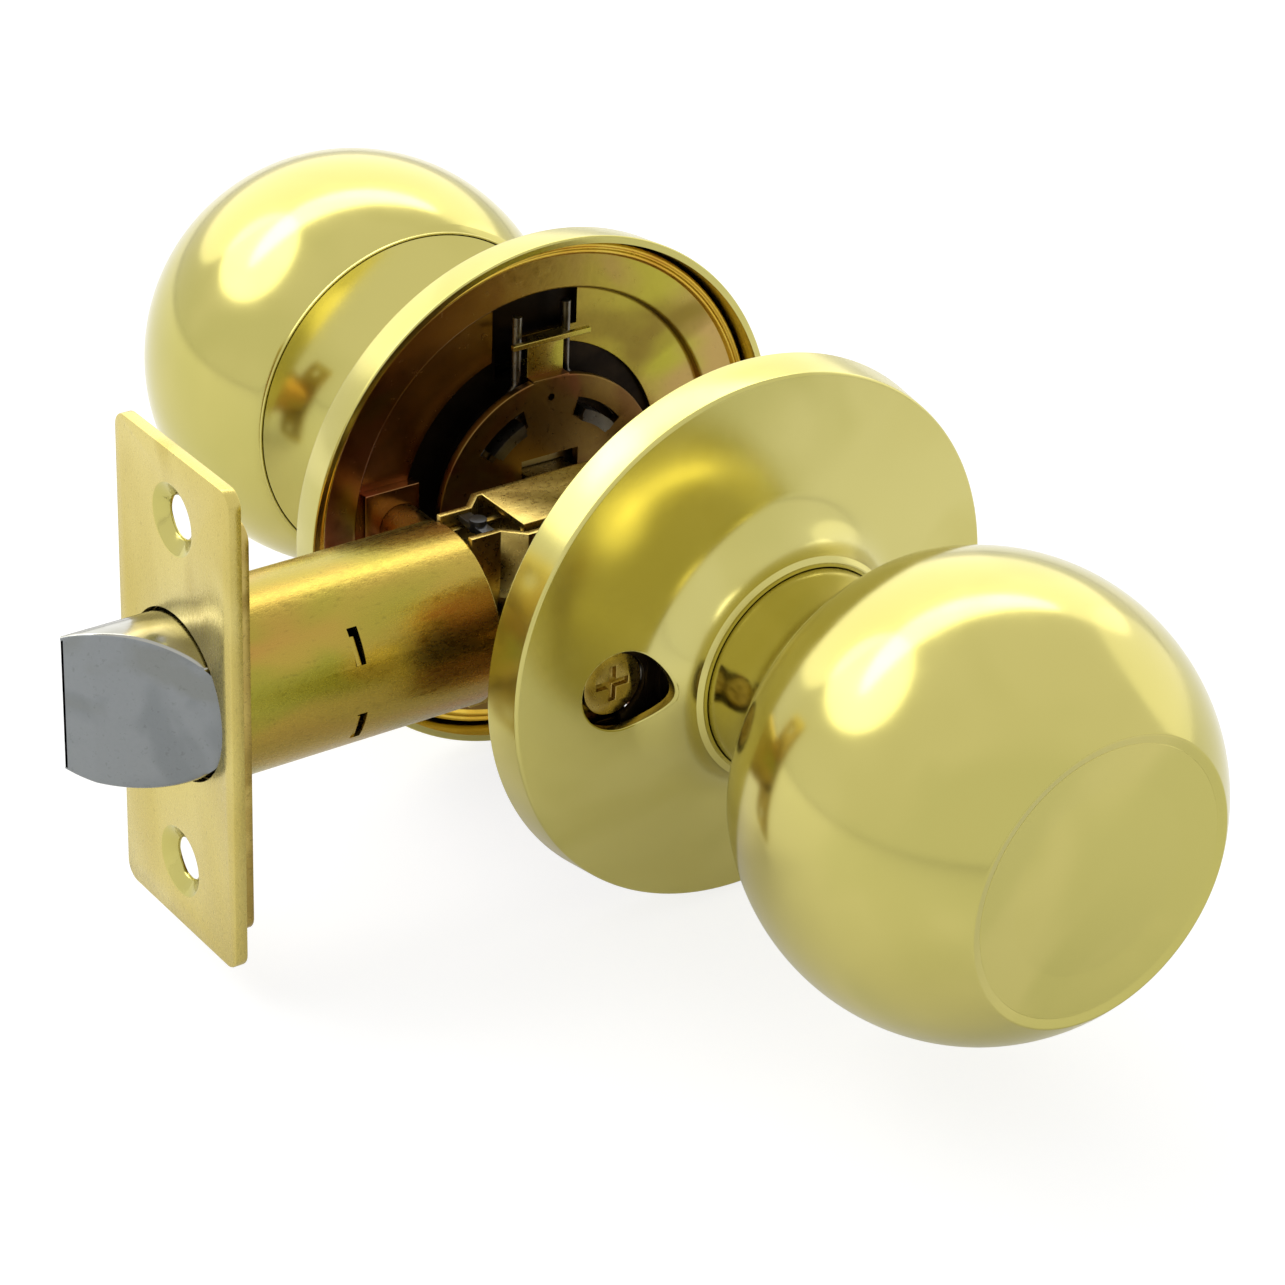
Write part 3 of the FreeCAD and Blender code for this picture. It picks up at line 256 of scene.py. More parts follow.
def rod(radius, start, end, along, a=0.0, b=0.0, segments=48):
    """A cylinder along X or Y; a and b are its other two coordinates, in order."""
    form = bmesh.new()
    bmesh.ops.create_cone(form, cap_ends=True, segments=segments, radius1=radius * MM,
                          radius2=radius * MM, depth=abs(end - start) * MM)
    turns = {"x": Matrix.Rotation(math.pi / 2, 3, "Y"), "y": Matrix.Rotation(-math.pi / 2, 3, "X")}
    bmesh.ops.rotate(form, cent=(0, 0, 0), matrix=turns[along], verts=form.verts)
    middle = (start + end) / 2
    where = {"x": (middle, a, b), "y": (a, middle, b)}[along]
    bmesh.ops.translate(form, vec=Vector(where) * MM, verts=form.verts)
    return form


def joined(*forms):
    """The forms side by side in one mesh."""
    whole = bmesh.new()
    for form in forms:
        mesh = bpy.data.meshes.new("part")
        form.to_mesh(mesh)
        form.free()
        whole.from_mesh(mesh)
        bpy.data.meshes.remove(mesh)
    return whole


def as_object(form, name):
    mesh = bpy.data.meshes.new(name)
    form.to_mesh(mesh)
    form.free()
    item = bpy.data.objects.new(name, mesh)
    bpy.context.scene.collection.objects.link(item)
    return item


def combined(form, others, operation):
    """The form with the others cut away or welded on."""
    base = as_object(form, "base")
    tools = [as_object(other, "tool") for other in others]
    for tool in tools:
        change = base.modifiers.new("change", "BOOLEAN")
        change.operation = operation
        change.solver = "EXACT"
        change.object = tool
    bpy.context.view_layer.update()
    shape = bpy.data.meshes.new_from_object(base.evaluated_get(bpy.context.evaluated_depsgraph_get()))
    result = bmesh.new()
    result.from_mesh(shape)
    for item in [base] + tools:
        old = item.data
        bpy.data.objects.remove(item)
        bpy.data.meshes.remove(old)
    bpy.data.meshes.remove(shape)
    bmesh.ops.remove_doubles(result, verts=result.verts, dist=1e-7)
    return result


def carved(form, *cutters):
    return combined(form, cutters, "DIFFERENCE")


def welded(form, *others):
    return combined(form, others, "UNION")


def bend(points, thickness):
    """A round wire bent along points in millimetres."""
    data = bpy.data.curves.new("wire", "CURVE")
    data.dimensions = "3D"
    data.bevel_depth = thickness / 2 * MM
    data.bevel_resolution = 4
    data.use_fill_caps = True
    line = data.splines.new("POLY")
    line.points.add(len(points) - 1)
    for point, where in zip(line.points, points):
        point.co = (*(Vector(where) * MM), 1)
    item = bpy.data.objects.new("wire", data)
    bpy.context.scene.collection.objects.link(item)
    bpy.context.view_layer.update()
    shape = bpy.data.meshes.new_from_object(item.evaluated_get(bpy.context.evaluated_depsgraph_get()))
    form = bmesh.new()
    form.from_mesh(shape)
    bpy.data.objects.remove(item)
    bpy.data.meshes.remove(shape)
    bmesh.ops.recalc_face_normals(form, faces=form.faces)
    return form


def copied(node, ease):
    """A copy of a CAD node with its doubles merged and its sharp edges eased."""
    form = bmesh.new()
    form.from_mesh(NODES[node].data)
    bmesh.ops.remove_doubles(form, verts=form.verts, dist=2e-7)
    bmesh.ops.dissolve_limit(form, angle_limit=math.radians(1), verts=form.verts, edges=form.edges)
    sharp = [edge for edge in form.edges if len(edge.link_faces) == 2
             and edge.calc_face_angle(0) > math.radians(30)]
    bmesh.ops.bevel(form, geom=sharp, offset=ease * MM, segments=2, profile=0.5,
                    affect="EDGES", clamp_overlap=True, material=-1)
    return form


# ---- finishes ----

def shader_group(name, inputs, outputs):
    """A node group with named sockets; gives the tree and what runs in and out of it."""
    tree = bpy.data.node_groups.new(name, "ShaderNodeTree")
    for label, kind, value in inputs:
        socket = tree.interface.new_socket(name=label, in_out="INPUT", socket_type=f"NodeSocket{kind}")
        if value is not None:
            socket.default_value = value
    for label, kind in outputs:
        tree.interface.new_socket(name=label, in_out="OUTPUT", socket_type=f"NodeSocket{kind}")
    return tree, tree.nodes.new("NodeGroupInput").outputs, tree.nodes.new("NodeGroupOutput").inputs


def noise_in(tree, place, scale, detail, roughness, twist=0.0):
    node = tree.nodes.new("ShaderNodeTexNoise")
    node.inputs["Detail"].default_value = detail
    node.inputs["Roughness"].default_value = roughness
    node.inputs["Distortion"].default_value = twist
    tree.links.new(place, node.inputs["Vector"])
    tree.links.new(scale, node.inputs["Scale"])
    return node.outputs["Fac"]


def ranged_in(tree, value, start, stop, low=0.0, high=1.0, kind="LINEAR"):
    node = tree.nodes.new("ShaderNodeMapRange")
    node.interpolation_type = kind
    node.inputs["From Min"].default_value = start
    node.inputs["From Max"].default_value = stop
    for socket, limit in (("To Min", low), ("To Max", high)):
        if isinstance(limit, bpy.types.NodeSocket):
            tree.links.new(limit, node.inputs[socket])
        else:
            node.inputs[socket].default_value = limit
    tree.links.new(value, node.inputs["Value"])
    return node.outputs["Result"]


def mixed_in(tree, factor, first, second):
    node = tree.nodes.new("ShaderNodeMix")
    node.data_type = "RGBA"
    sockets = (node.inputs["Factor"], node.inputs[6], node.inputs[7])
    for socket, value in zip(sockets, (factor, first, second)):
        if isinstance(value, bpy.types.NodeSocket):
            tree.links.new(value, socket)
        else:
            socket.default_value = (*value, 1) if isinstance(value, tuple) else value
    return node.outputs[2]


def grain_group():
    """Fine grain of a metal skin: height for a bump, roughness between two limits, and dark pits."""
    tree, given, wanted = shader_group(
        "metal grain",
        [("Place", "Vector", None), ("Scale", "Float", 900.0),
         ("Smooth", "Float", 0.2), ("Coarse", "Float", 0.3)],
        [("Height", "Float"), ("Roughness", "Float"), ("Pits", "Float")])
    grain = noise_in(tree, given["Place"], given["Scale"], 4.0, 0.65)
    tree.links.new(grain, wanted["Height"])
    rough = ranged_in(tree, grain, 0.3, 0.7, given["Smooth"], given["Coarse"])
    tree.links.new(rough, wanted["Roughness"])
    tree.links.new(ranged_in(tree, grain, 0.42, 0.30), wanted["Pits"])
    return tree


def film_group():
    """A thin film tint that drifts between three colours and goes dark in the pits."""
    tree, given, wanted = shader_group(
        "drifting film",
        [("Place", "Vector", None), ("Scale", "Float", 80.0),
         ("First", "Color", None), ("Second", "Color", None), ("Third", "Color", None),
         ("Pits", "Float", 0.0), ("Depth", "Float", 0.5)],
        [("Colour", "Color")])
    drift = ranged_in(tree, noise_in(tree, given["Place"], given["Scale"], 2.0, 0.5, 0.8), 0.38, 0.60,
                      kind="SMOOTHSTEP")
    moved = tree.nodes.new("ShaderNodeVectorMath")
    moved.inputs[1].default_value = (0.31, 0.17, 0.23)
    tree.links.new(given["Place"], moved.inputs[0])
    other = ranged_in(tree, noise_in(tree, moved.outputs[0], given["Scale"], 2.0, 0.5, 0.8), 0.48, 0.66,
                      kind="SMOOTHSTEP")
    tint = mixed_in(tree, other, mixed_in(tree, drift, given["First"], given["Second"]), given["Third"])
    depth = tree.nodes.new("ShaderNodeMath")
    depth.operation = "MULTIPLY"
    tree.links.new(given["Pits"], depth.inputs[0])
    tree.links.new(given["Depth"], depth.inputs[1])
    tree.links.new(mixed_in(tree, depth.outputs[0], tint, (0.02, 0.015, 0.008)), wanted["Colour"])
    return tree


GRAIN = grain_group()
FILM = film_group()
# Half the width, in millimetres, over which the painted shade changes across X.
PAINTED_SHADE_REACH = 24


class Finish:
    """A metal with a drifting tint and a grain; both patterns can be stretched along an axis."""

    def __init__(self, name, colours, film_scale, grain_scale, smooth, coarse, bump=0.08, pits=0.4,
                 stretch=None, across=None, metallic=1.0):
        self.material = bpy.data.materials.new(name)
        self.material.use_nodes = True
        self.tree = self.material.node_tree
        self.shader = self.tree.nodes["Principled BSDF"]
        self.shader.inputs["Metallic"].default_value = metallic
        self.place = self.tree.nodes.new("ShaderNodeTexCoord").outputs["Object"]
        if stretch:
            mapping = self.tree.nodes.new("ShaderNodeMapping")
            mapping.inputs["Scale"].default_value = stretch
            self.tree.links.new(self.place, mapping.inputs["Vector"])
            self.lengthwise = mapping.outputs["Vector"]
        else:
            self.lengthwise = self.place
        grain = self.group(GRAIN, Scale=grain_scale, Smooth=smooth, Coarse=coarse)
        film = self.group(FILM, Scale=film_scale, Depth=pits)
        self.tree.links.new(grain["Pits"], self.film.inputs["Pits"])
        for label, colour in zip(("First", "Second", "Third"), colours):
            self.film.inputs[label].default_value = (*colour, 1)
        if across:
            self.paint_shade_across(across)
        self.tree.links.new(film["Colour"], self.shader.inputs["Base Color"])
        self.tree.links.new(grain["Roughness"], self.shader.inputs["Roughness"])
        relief = self.tree.nodes.new("ShaderNodeBump")
        relief.inputs["Strength"].default_value = bump
        relief.inputs["Distance"].default_value = 0.0002
        self.tree.links.new(grain["Height"], relief.inputs["Height"])
        self.tree.links.new(relief.outputs["Normal"], self.shader.inputs["Normal"])

    def group(self, tree, **values):
        node = self.tree.nodes.new("ShaderNodeGroup")
        node.node_tree = tree
        self.tree.links.new(self.lengthwise, node.inputs["Place"])
        for label, value in values.items():
            node.inputs[label].default_value = value
        if tree == FILM:
            self.film = node
        return node.outputs

    def paint_shade_across(self, across):
        """Painted shade: let the first two colours change from one side of the piece to the other along
        X.
        """
        split = self.tree.nodes.new("ShaderNodeSeparateXYZ")
        self.tree.links.new(self.place, split.inputs[0])
        side = ranged_in(self.tree, split.outputs["X"], -PAINTED_SHADE_REACH * MM, PAINTED_SHADE_REACH * MM)
        for label, colour in zip(("First", "Second"), across):
            near = tuple(self.film.inputs[label].default_value)[:3]
            self.tree.links.new(mixed_in(self.tree, side, near, colour), self.film.inputs[label])


BRASS = Finish("polished brass", [(0.54, 0.48, 0.145), (0.57, 0.505, 0.16), (0.51, 0.46, 0.135)],
               40, 160, 0.13, 0.18, bump=0.015, pits=0.0).material
ROSE_BRASS = Finish("rose brass", [(0.56, 0.50, 0.16), (0.60, 0.54, 0.19), (0.52, 0.47, 0.145)],
                    40, 160, 0.18, 0.24, bump=0.015, pits=0.0).material
SATIN = Finish("satin brass", [(0.60, 0.49, 0.15), (0.66, 0.55, 0.185), (0.56, 0.45, 0.125)],
               60, 2600, 0.22, 0.34, bump=0.12, pits=0.2, stretch=(1, 1, 0.45)).material
ZINC = Finish("chromate zinc", [(0.43, 0.31, 0.055), (0.46, 0.25, 0.06), (0.33, 0.30, 0.04)],
              70, 1900, 0.22, 0.32, bump=0.12, pits=0.22, stretch=(0.45, 1, 1)).material
# Painted shade: the plate's colours are darker towards -X and lighter towards +X; the drifting hue is
# the film's own tint.
PLATE = Finish("chromate zinc plate", [(0.22, 0.10, 0.035), (0.34, 0.13, 0.07), (0.24, 0.17, 0.03)],
               55, 900, 0.20, 0.28, bump=0.05, pits=0.12,
               across=[(0.46, 0.31, 0.10), (0.42, 0.40, 0.04)]).material
# Painted highlight: a brighter golden copy of the plate's finish for its rolled rim.
RIM_HIGHLIGHT = Finish("painted rim highlight", [(0.66, 0.42, 0.05), (0.70, 0.50, 0.08), (0.60, 0.34, 0.04)],
              90, 900, 0.20, 0.28, bump=0.04, pits=0.1).material
CASE = Finish("chromate zinc case", [(0.42, 0.30, 0.08), (0.50, 0.38, 0.11), (0.34, 0.24, 0.06)],
              120, 1600, 0.24, 0.34, bump=0.10, pits=0.3).material
COPPERY = Finish("coppery driver", [(0.15, 0.075, 0.022), (0.20, 0.12, 0.03), (0.18, 0.06, 0.025)],
                 90, 1500, 0.26, 0.38, bump=0.08, pits=0.3).material
# Painted light: a lighter olive copy of the driver's steel for its tab and crossbar.
TAB_PAINTED_LIGHT = Finish("olive tab, painted light", [(0.40, 0.30, 0.06), (0.46, 0.34, 0.09), (0.36, 0.31, 0.04)],
                140, 1500, 0.24, 0.34, bump=0.06, pits=0.2).material
STEEL = Finish("drawn steel", [(0.36, 0.33, 0.25), (0.42, 0.38, 0.29), (0.30, 0.27, 0.20)],
               150, 1300, 0.28, 0.40).material
# Near-black: the spring cup's own dark steel, and painted shade on the roses' inner faces and the bush.
DARK_STEEL_AND_SHADE = Finish("dark steel and painted shade", [(0.020, 0.014, 0.009), (0.030, 0.020, 0.012), (0.014, 0.010, 0.007)],
              120, 1200, 0.40, 0.55).material
WIRE = Finish("spring wire", [(0.15, 0.14, 0.12), (0.20, 0.19, 0.16), (0.10, 0.09, 0.08)],
              200, 1500, 0.26, 0.36).material
CHROME = Finish("plated bolt", [(0.37, 0.36, 0.315), (0.40, 0.395, 0.355), (0.34, 0.335, 0.29)],
                120, 900, 0.12, 0.20, bump=0.03, pits=0.0).material
SANDED = Finish("sanded ramp", [(0.215, 0.23, 0.235), (0.26, 0.275, 0.28), (0.23, 0.24, 0.23)],
                110, 1700, 0.38, 0.50, bump=0.10, pits=0.2).material
BLACK = Finish("black stud", [(0.015, 0.015, 0.015), (0.02, 0.02, 0.02), (0.012, 0.012, 0.012)],
               200, 900, 0.28, 0.40, metallic=0.4).material


def dress(piece, *materials):
    for material in materials:
        piece.data.materials.append(material)
    return piece


# ---- knobs and roses ----

BALL, BALL_AT, SKIN = 26.0, 43.5, 0.9
LIP_AT, LIP_WIDE = 29.3, 0.4
FACE_WIDE, FACE_SUNK = 16.6, 0.65
NECK, NECK_FROM, FLARE_AT, FLARE, SHANK = 12.3, 8.5, 15.3, 15.6, 11.33
ROSE, ROSE_EDGE, COLLAR, COLLAR_END = 32.2, 4.75, 13.5, 13.0
ROSE_BROW = ROSE - 0.6
COLLAR_FOOT = COLLAR_END - 0.5
DOME = 1.8
SWEEP = math.radians(82)  # of the swell's arc, seen from its centre
LIP = math.sqrt(BALL ** 2 - (BALL_AT - LIP_AT) ** 2)
SWELL = (COLLAR_FOOT - ROSE_EDGE - DOME) / math.sin(SWEEP)
SWELL_AT = COLLAR + SWELL


def ball_angle(radius, across):
    """Degrees from the ball's axis to where it is this far from the axis."""
    return math.degrees(math.asin(across / radius))


def knob_shell(side):
    """A hollow ball with a lip round its mouth and a shallow dish in its face."""
    rim = BALL_AT + math.sqrt(BALL ** 2 - FACE_WIDE ** 2)
    floor_at = rim - FACE_SUNK
    inner, inner_face = BALL - SKIN, 15.5
    outline = eased([(LIP - LIP_WIDE, LIP_AT + 0.1, 0.1), (LIP - 0.05, LIP_AT, 0.15),
                     (LIP, LIP_AT + 0.3)])
    outline += arc(0, BALL_AT, BALL, 180 - ball_angle(BALL, LIP) - 1.5,
                   ball_angle(BALL, FACE_WIDE) + 0.8, 56)
    outline += eased([(FACE_WIDE + 0.3, rim - 0.25), (FACE_WIDE, rim, 0.3),
                      (FACE_WIDE - 2.3, floor_at, 6), (FACE_WIDE - 7, floor_at)], 10)[1:-1]
    outline += [(0, floor_at), (0, floor_at - SKIN)]
    outline += arc(0, BALL_AT, inner, ball_angle(inner, inner_face),
                   180 - ball_angle(inner, LIP - LIP_WIDE), 24)
    form = spun(out_from_door(outline), steps=192)
    return dress(made(f"{side}_ball", form, f"{side}_knob", "polished_brass",
                      f"{side}_knob_shell", side=side), BRASS)


def knob_neck(side):
    """The trumpet behind the ball: a sleeve on the shank that flares out to the ball's lip."""
    mouth = LIP - LIP_WIDE - 0.03
    far = NECK + FLARE
    end = math.degrees(math.acos((far - mouth) / FLARE))
    outline = [(SHANK, NECK_FROM), (NECK, NECK_FROM), (NECK, FLARE_AT)]
    outline += [(far - FLARE * math.cos(math.radians(t)), FLARE_AT + FLARE * math.sin(math.radians(t)))
                for t in (end * step / 28 for step in range(1, 29))]
    inside = far - SHANK
    stop = math.degrees(math.acos((far - mouth) / inside))
    outline += [(far - inside * math.cos(math.radians(t)),
                 FLARE_AT + inside * math.sin(math.radians(t)))
                for t in (stop * step / 12 for step in range(12, -1, -1))]
    return dress(made(f"{side}_neck", spun(out_from_door(outline)), f"{side}_knob", "polished_brass",
                      f"{side}_knob_neck", side=side), BRASS)


def rose_outline():
    """Rim, shallow dome, swell up to the collar, its turned-in mouth, and back along the inside."""
    outline = eased([(ROSE - SKIN, 0.0), (ROSE, 0.0, 0.25), (ROSE_BROW, ROSE_EDGE, 0.45),
                     (SWELL_AT - SWELL * math.cos(SWEEP), ROSE_EDGE + DOME)], 7)
    for step in range(1, 25):
        t = SWEEP * (1 - step / 24)
        outline.append((SWELL_AT - SWELL * math.cos(t), COLLAR_FOOT - SWELL * math.sin(t)))
    outline += eased([(COLLAR, COLLAR_FOOT), (COLLAR - 0.6, COLLAR_END, 0.3),
                      (NECK + 0.06, COLLAR_END - 0.05, 0.05), (COLLAR - SKIN, COLLAR_FOOT)])[1:-1]
    inner = SWELL + SKIN
    for step in range(0, 13):
        t = SWEEP * step / 12
        outline.append((SWELL_AT - inner * math.cos(t), COLLAR_FOOT - inner * math.sin(t)))
    outline.append((ROSE_BROW - SKIN, ROSE_EDGE - SKIN))
    return out_from_door(outline)


def rose_height(radius):
    """How far the rose's face stands off the door at a radius."""
    start = SWELL_AT - SWELL * math.cos(SWEEP)
    if radius > start:
        return ROSE_EDGE + DOME * (ROSE_BROW - radius) / (ROSE_BROW - start)
    return COLLAR_FOOT - math.sqrt(max(0.0, SWELL ** 2 - (SWELL_AT - radius) ** 2))


SCREW_AT, SCREW_HOLE, LIP_BED = 19.0, 4.8, 0.15


def rose(side):
    """The cover dish, with painted shade on its inner face; the inside one has the two screw holes."""
    form = spun(rose_outline(), steps=192)
    if side == "inside":
        holes = [rod(SCREW_HOLE + LIP_BED, FACE - 1, FACE + COLLAR_END + 2, "y", a=x, segments=96)
                 for x in (-SCREW_AT, SCREW_AT)]
        form = carved(form, *holes)
        for x in (-SCREW_AT, SCREW_AT):
            form = joined(form, hole_lip(x))
    # Painted shade: faces turned towards the door, past the rim's back edge, get the near-black
    # material.
    for face in form.faces:
        middle = face.calc_center_median() / MM
        face.material_index = 1 if face.normal.y < -0.2 and middle.y > FACE + 1 else 0
    return dress(made(f"{side}_rose_dish", form, "frame", "polished_brass", f"{side}_rose", side=side),
                 ROSE_BRASS, DARK_STEEL_AND_SHADE)


def hole_lip(x):
    """The edge of a screw hole, turned in and rounded, following the rose's swell."""
    section = eased([(SCREW_HOLE - 0.05, -1.1), (SCREW_HOLE + 0.5, -1.0), (SCREW_HOLE + 0.5, -0.3),
                     (SCREW_HOLE + LIP_BED, -0.02), (SCREW_HOLE - 0.05, -0.04, 0.18)])
    form = spun(section, steps=96)
    for vert in form.verts:
        reach = max(COLLAR + 0.5, math.hypot(vert.co.x / MM + x, vert.co.z / MM))
        vert.co.y += (FACE + rose_height(reach)) * MM
    bmesh.ops.translate(form, vec=(x * MM, 0, 0), verts=form.verts)
    return form


for side in ("outside", "inside"):
    knob_shell(side)
    knob_neck(side)
    rose(side)


# ---- plates, cups, springs and drivers ----

PLATE_STEP, PLATE_RIM, PLATE_OPEN, SHEET = 25.5, 30.6, 17.8, 0.7
PLATE_LIFT, PLATE_FACE = 2.5, 3.8
PLATE_ROLL = 1.52
WINDOW_LOW, WINDOW_TALL, WINDOW_HALF = 19.3, 5.1, 5.85
PAN_IN, PAN_OUT, PAN_HALF, PAN_FLOOR = 16.4, 23.7, 4.9, 2.4
SLEEVE_IN, SLEEVE_OUT = 10.3, 11.3
PRONGS = (35, -35, 145, -145)  # degrees from straight up
TAB_HALF, TAB_TOP, TAB_SHEET = 2.5, 20.3, 0.6


def sector(inner, outer, low, high, spread, lean):
    """A slice of a ring about Y: spread degrees to each side of a lean from straight up towards +X."""
    form = bmesh.new()
    corners = [form.verts.new(Vector((0, FACE + a, r)) * MM)
               for r, a in ((inner, low), (outer, low), (outer, high), (inner, high))]
    face = form.faces.new(corners)
    bmesh.ops.rotate(form, cent=(0, 0, 0), matrix=Matrix.Rotation(math.radians(lean - spread), 3, "Y"),
                     verts=form.verts)
    bmesh.ops.spin(form, geom=[face] + list(face.edges) + list(face.verts), cent=(0, 0, 0),
                   axis=(0, 1, 0), angle=math.radians(2 * spread), steps=12)
    bmesh.ops.remove_doubles(form, verts=form.verts, dist=MERGE_WITHIN)
    bmesh.ops.recalc_face_normals(form, faces=form.faces)
    return form


def y_span(low, high):
    """A span along Y counted outwards from the door's face."""
    return (FACE + low, FACE + high)


def mounting_plate(side):
    """A stepped plate with a rolled rim, the driver's window, a stop lug and two screw pans."""
    back = PLATE_FACE + SHEET
    through = y_span(PLATE_FACE - 1, back + 1)
    outline = eased([(PLATE_OPEN, PLATE_FACE, 0.12), (PLATE_STEP - SHEET, PLATE_FACE, 0.5),
                     (PLATE_STEP - SHEET, PLATE_LIFT, 0.5), (PLATE_RIM - 1.5, PLATE_LIFT, 0.1),
                     (PLATE_RIM - 1.1, PLATE_LIFT - 0.5, 0.3),
                     (PLATE_RIM - 0.7, PLATE_LIFT - 0.2, 0.15),
                     (PLATE_RIM - 0.3, PLATE_LIFT - 0.5, 0.3), (PLATE_RIM, PLATE_LIFT - 0.1, 0.2),
                     (PLATE_RIM, PLATE_LIFT + SHEET), (PLATE_STEP, PLATE_LIFT + SHEET),
                     (PLATE_STEP, back), (PLATE_OPEN, back)])
    form = spun(out_from_door(outline), steps=160)
    window = slab((-WINDOW_HALF, WINDOW_HALF), through, (WINDOW_LOW, WINDOW_LOW + WINDOW_TALL))
    leg_slot = slab((-WINDOW_HALF, -2.7), through, (PLATE_OPEN - 1, WINDOW_LOW + 1))
    form = carved(form, window, leg_slot)
    lug = slab((-2.4, 2.4), y_span(2.26, back - 0.1), (WINDOW_LOW - SHEET, WINDOW_LOW - 0.02), 0.1)
    form = joined(form, lug)
    hollow_half = PAN_HALF - SHEET
    for sign in (1, -1):
        mouth = slab(sorted((16.2 * sign, PAN_OUT * sign)), through, (-hollow_half, hollow_half))
        form = carved(form, mouth)
        pan = slab(sorted((PAN_IN * sign, PAN_OUT * sign)), y_span(PAN_FLOOR, back),
                   (-PAN_HALF, PAN_HALF), 0.15)
        hollow = slab(sorted(((PAN_IN - 1) * sign, (PAN_OUT - SHEET) * sign)),
                      y_span(PAN_FLOOR + SHEET, back + 1), (-hollow_half, hollow_half))
        hole = rod(2.15, FACE, FACE + back + 1, "y", a=SCREW_AT * sign)
        form = joined(form, carved(pan, hollow, hole))
    # Painted highlight: the faces of the rolled rim get the second, brighter material.
    for face in form.faces:
        middle = face.calc_center_median() / MM
        rolled = math.hypot(middle.x, middle.z) > PLATE_RIM - PLATE_ROLL
        face.material_index = 1 if rolled else 0
    return dress(made(f"{side}_plate", form, "frame", "zinc_yellow",
                      f"{side}_mounting_plate", side=side), PLATE, RIM_HIGHLIGHT)


def spring_cup(side):
    """The dark stepped ring behind the plate, notched for the tab and relieved for the screws."""
    outline = out_from_door([(12.4, 4.9), (14.5, 4.9), (14.5, 4.53), (18.6, 4.53),
                             (18.6, 5.13), (15.1, 5.13), (15.1, 5.5), (12.4, 5.5)])
    form = spun(outline, steps=96)
    notch = slab((-4.9, 4.9), y_span(4, 7), (13.9, 20))
    reliefs = [rod(3.85, FACE + 4, FACE + 7, "y", a=x) for x in (-SCREW_AT, SCREW_AT)]
    form = carved(form, notch, *reliefs)
    return dress(made(f"{side}_cup", form, "frame", "dark_steel",
                      f"{side}_spring_cup", side=side), DARK_STEEL_AND_SHADE)


def bush(side):
    """The flanged bearing that the shank turns in."""
    bore, outer, flange = 11.36, 12.36, 14.0
    outline = eased([(bore, 1.35), (outer, 1.35, 0.15), (outer, 5.53), (flange, 5.53), (flange, 6.4),
                     (bore, 6.4)])
    form = spun(out_from_door(outline), steps=96)
    # Painted shade: the grey steel bush is drawn near-black.
    return dress(made(f"{side}_bush_sleeve", form, "frame", "grey_steel",
                      f"{side}_bush", side=side), DARK_STEEL_AND_SHADE)


def return_spring(side):
    """One turn of wire round the bush with two straight legs up across the window."""
    leg, radius, start, foot, top, wire = 3.7, 13.4, FACE + 1.95, 14.2, 23.0, 1.2
    lean = math.asin(leg / radius)
    turns = 1 - lean / math.pi
    rise = 1.1 * turns
    points = [(-leg, start, top), (-leg, start, foot)]
    for step in range(1, 64):
        share = step / 64
        angle = lean + math.tau * turns * share
        points.append((-radius * math.sin(angle), start + rise * share, radius * math.cos(angle)))
    points += [(leg, start + rise, foot), (leg, start + rise, top)]
    return dress(made(f"{side}_torsion_spring", bend(points, wire), "frame", "spring_steel",
                      f"{side}_return_spring", side=side), WIRE)


def shank(side):
    """The drawn sleeve, with four prongs bent in over the driver's slots."""
    outline = eased([(SLEEVE_IN, 1.16), (SLEEVE_OUT, 1.16, 0.1), (SLEEVE_OUT, 22.0), (SLEEVE_IN, 22.0)])
    form = spun(out_from_door(outline), steps=96)
    for lean in PRONGS:
        form = joined(form, sector(SLEEVE_IN, SLEEVE_OUT, -0.9, 1.6, 13, lean),
                      sector(9.8, 11.2, -0.93, -0.03, 12, lean))
    return dress(made(f"{side}_sleeve", form, f"{side}_knob", "grey_steel",
                      f"{side}_shank", side=side), WIRE)


def driver(side):
    """A slotted disc whose folded tab ends in a crossbar in the plate's window."""
    disc_wide, disc_thick = 15.2, 1.1
    disc = spun(out_from_door(eased([(0, 0), (disc_wide, 0, 0.2), (disc_wide, disc_thick, 0.2),
                                     (0, disc_thick)])), steps=128)
    across = (-TAB_HALF, TAB_HALF)
    fold = slab(across, y_span(0.02, 3.6), (disc_wide - TAB_SHEET, disc_wide), 0.1)
    stem = slab(across, y_span(1.4, 2.0), (14.65, TAB_TOP - 0.02), 0.1)
    lip = slab(across, y_span(0.02, 2.0), (TAB_TOP - TAB_SHEET, TAB_TOP), 0.1)
    bar = slab((-5.35, 5.35), y_span(0, 0.7), (19.68, TAB_TOP + 0.01), 0.1)
    hole = slab((-3.95, 3.95), y_span(-1, 2), (-5.3, 5.3))
    mark = rod(0.45, FACE - 1, FACE + 2, "y", b=12.7, segments=24)
    slots = [sector(10.05, 12.4, -1, 2, 17, lean) for lean in PRONGS]
    form = welded(carved(disc, hole, mark, *slots), fold, stem, lip, bar)
    # Painted light: the tab and crossbar above the disc get the lighter copy of the steel.
    for face in form.faces:
        on_tab = face.calc_center_median().z > (disc_wide + 0.1) * MM
        face.material_index = 1 if on_tab else 0
    return dress(made(f"{side}_driver_plate", form, f"{side}_knob", "brown_steel",
                      f"{side}_driver", side=side), COPPERY, TAB_PAINTED_LIGHT)


def hub(side):
    """The plug in the shank with a square hole for the spindle."""
    hub_wide, square_half = 10.27, 3.33
    form = carved(rod(hub_wide, FACE + 2, FACE + 13, "y", segments=72),
                  slab((-square_half, square_half), y_span(1, 14), (-square_half, square_half)))
    return dress(made(f"{side}_plug", form, f"{side}_knob", "grey_steel",
                      f"{side}_spindle_hub", side=side), STEEL)


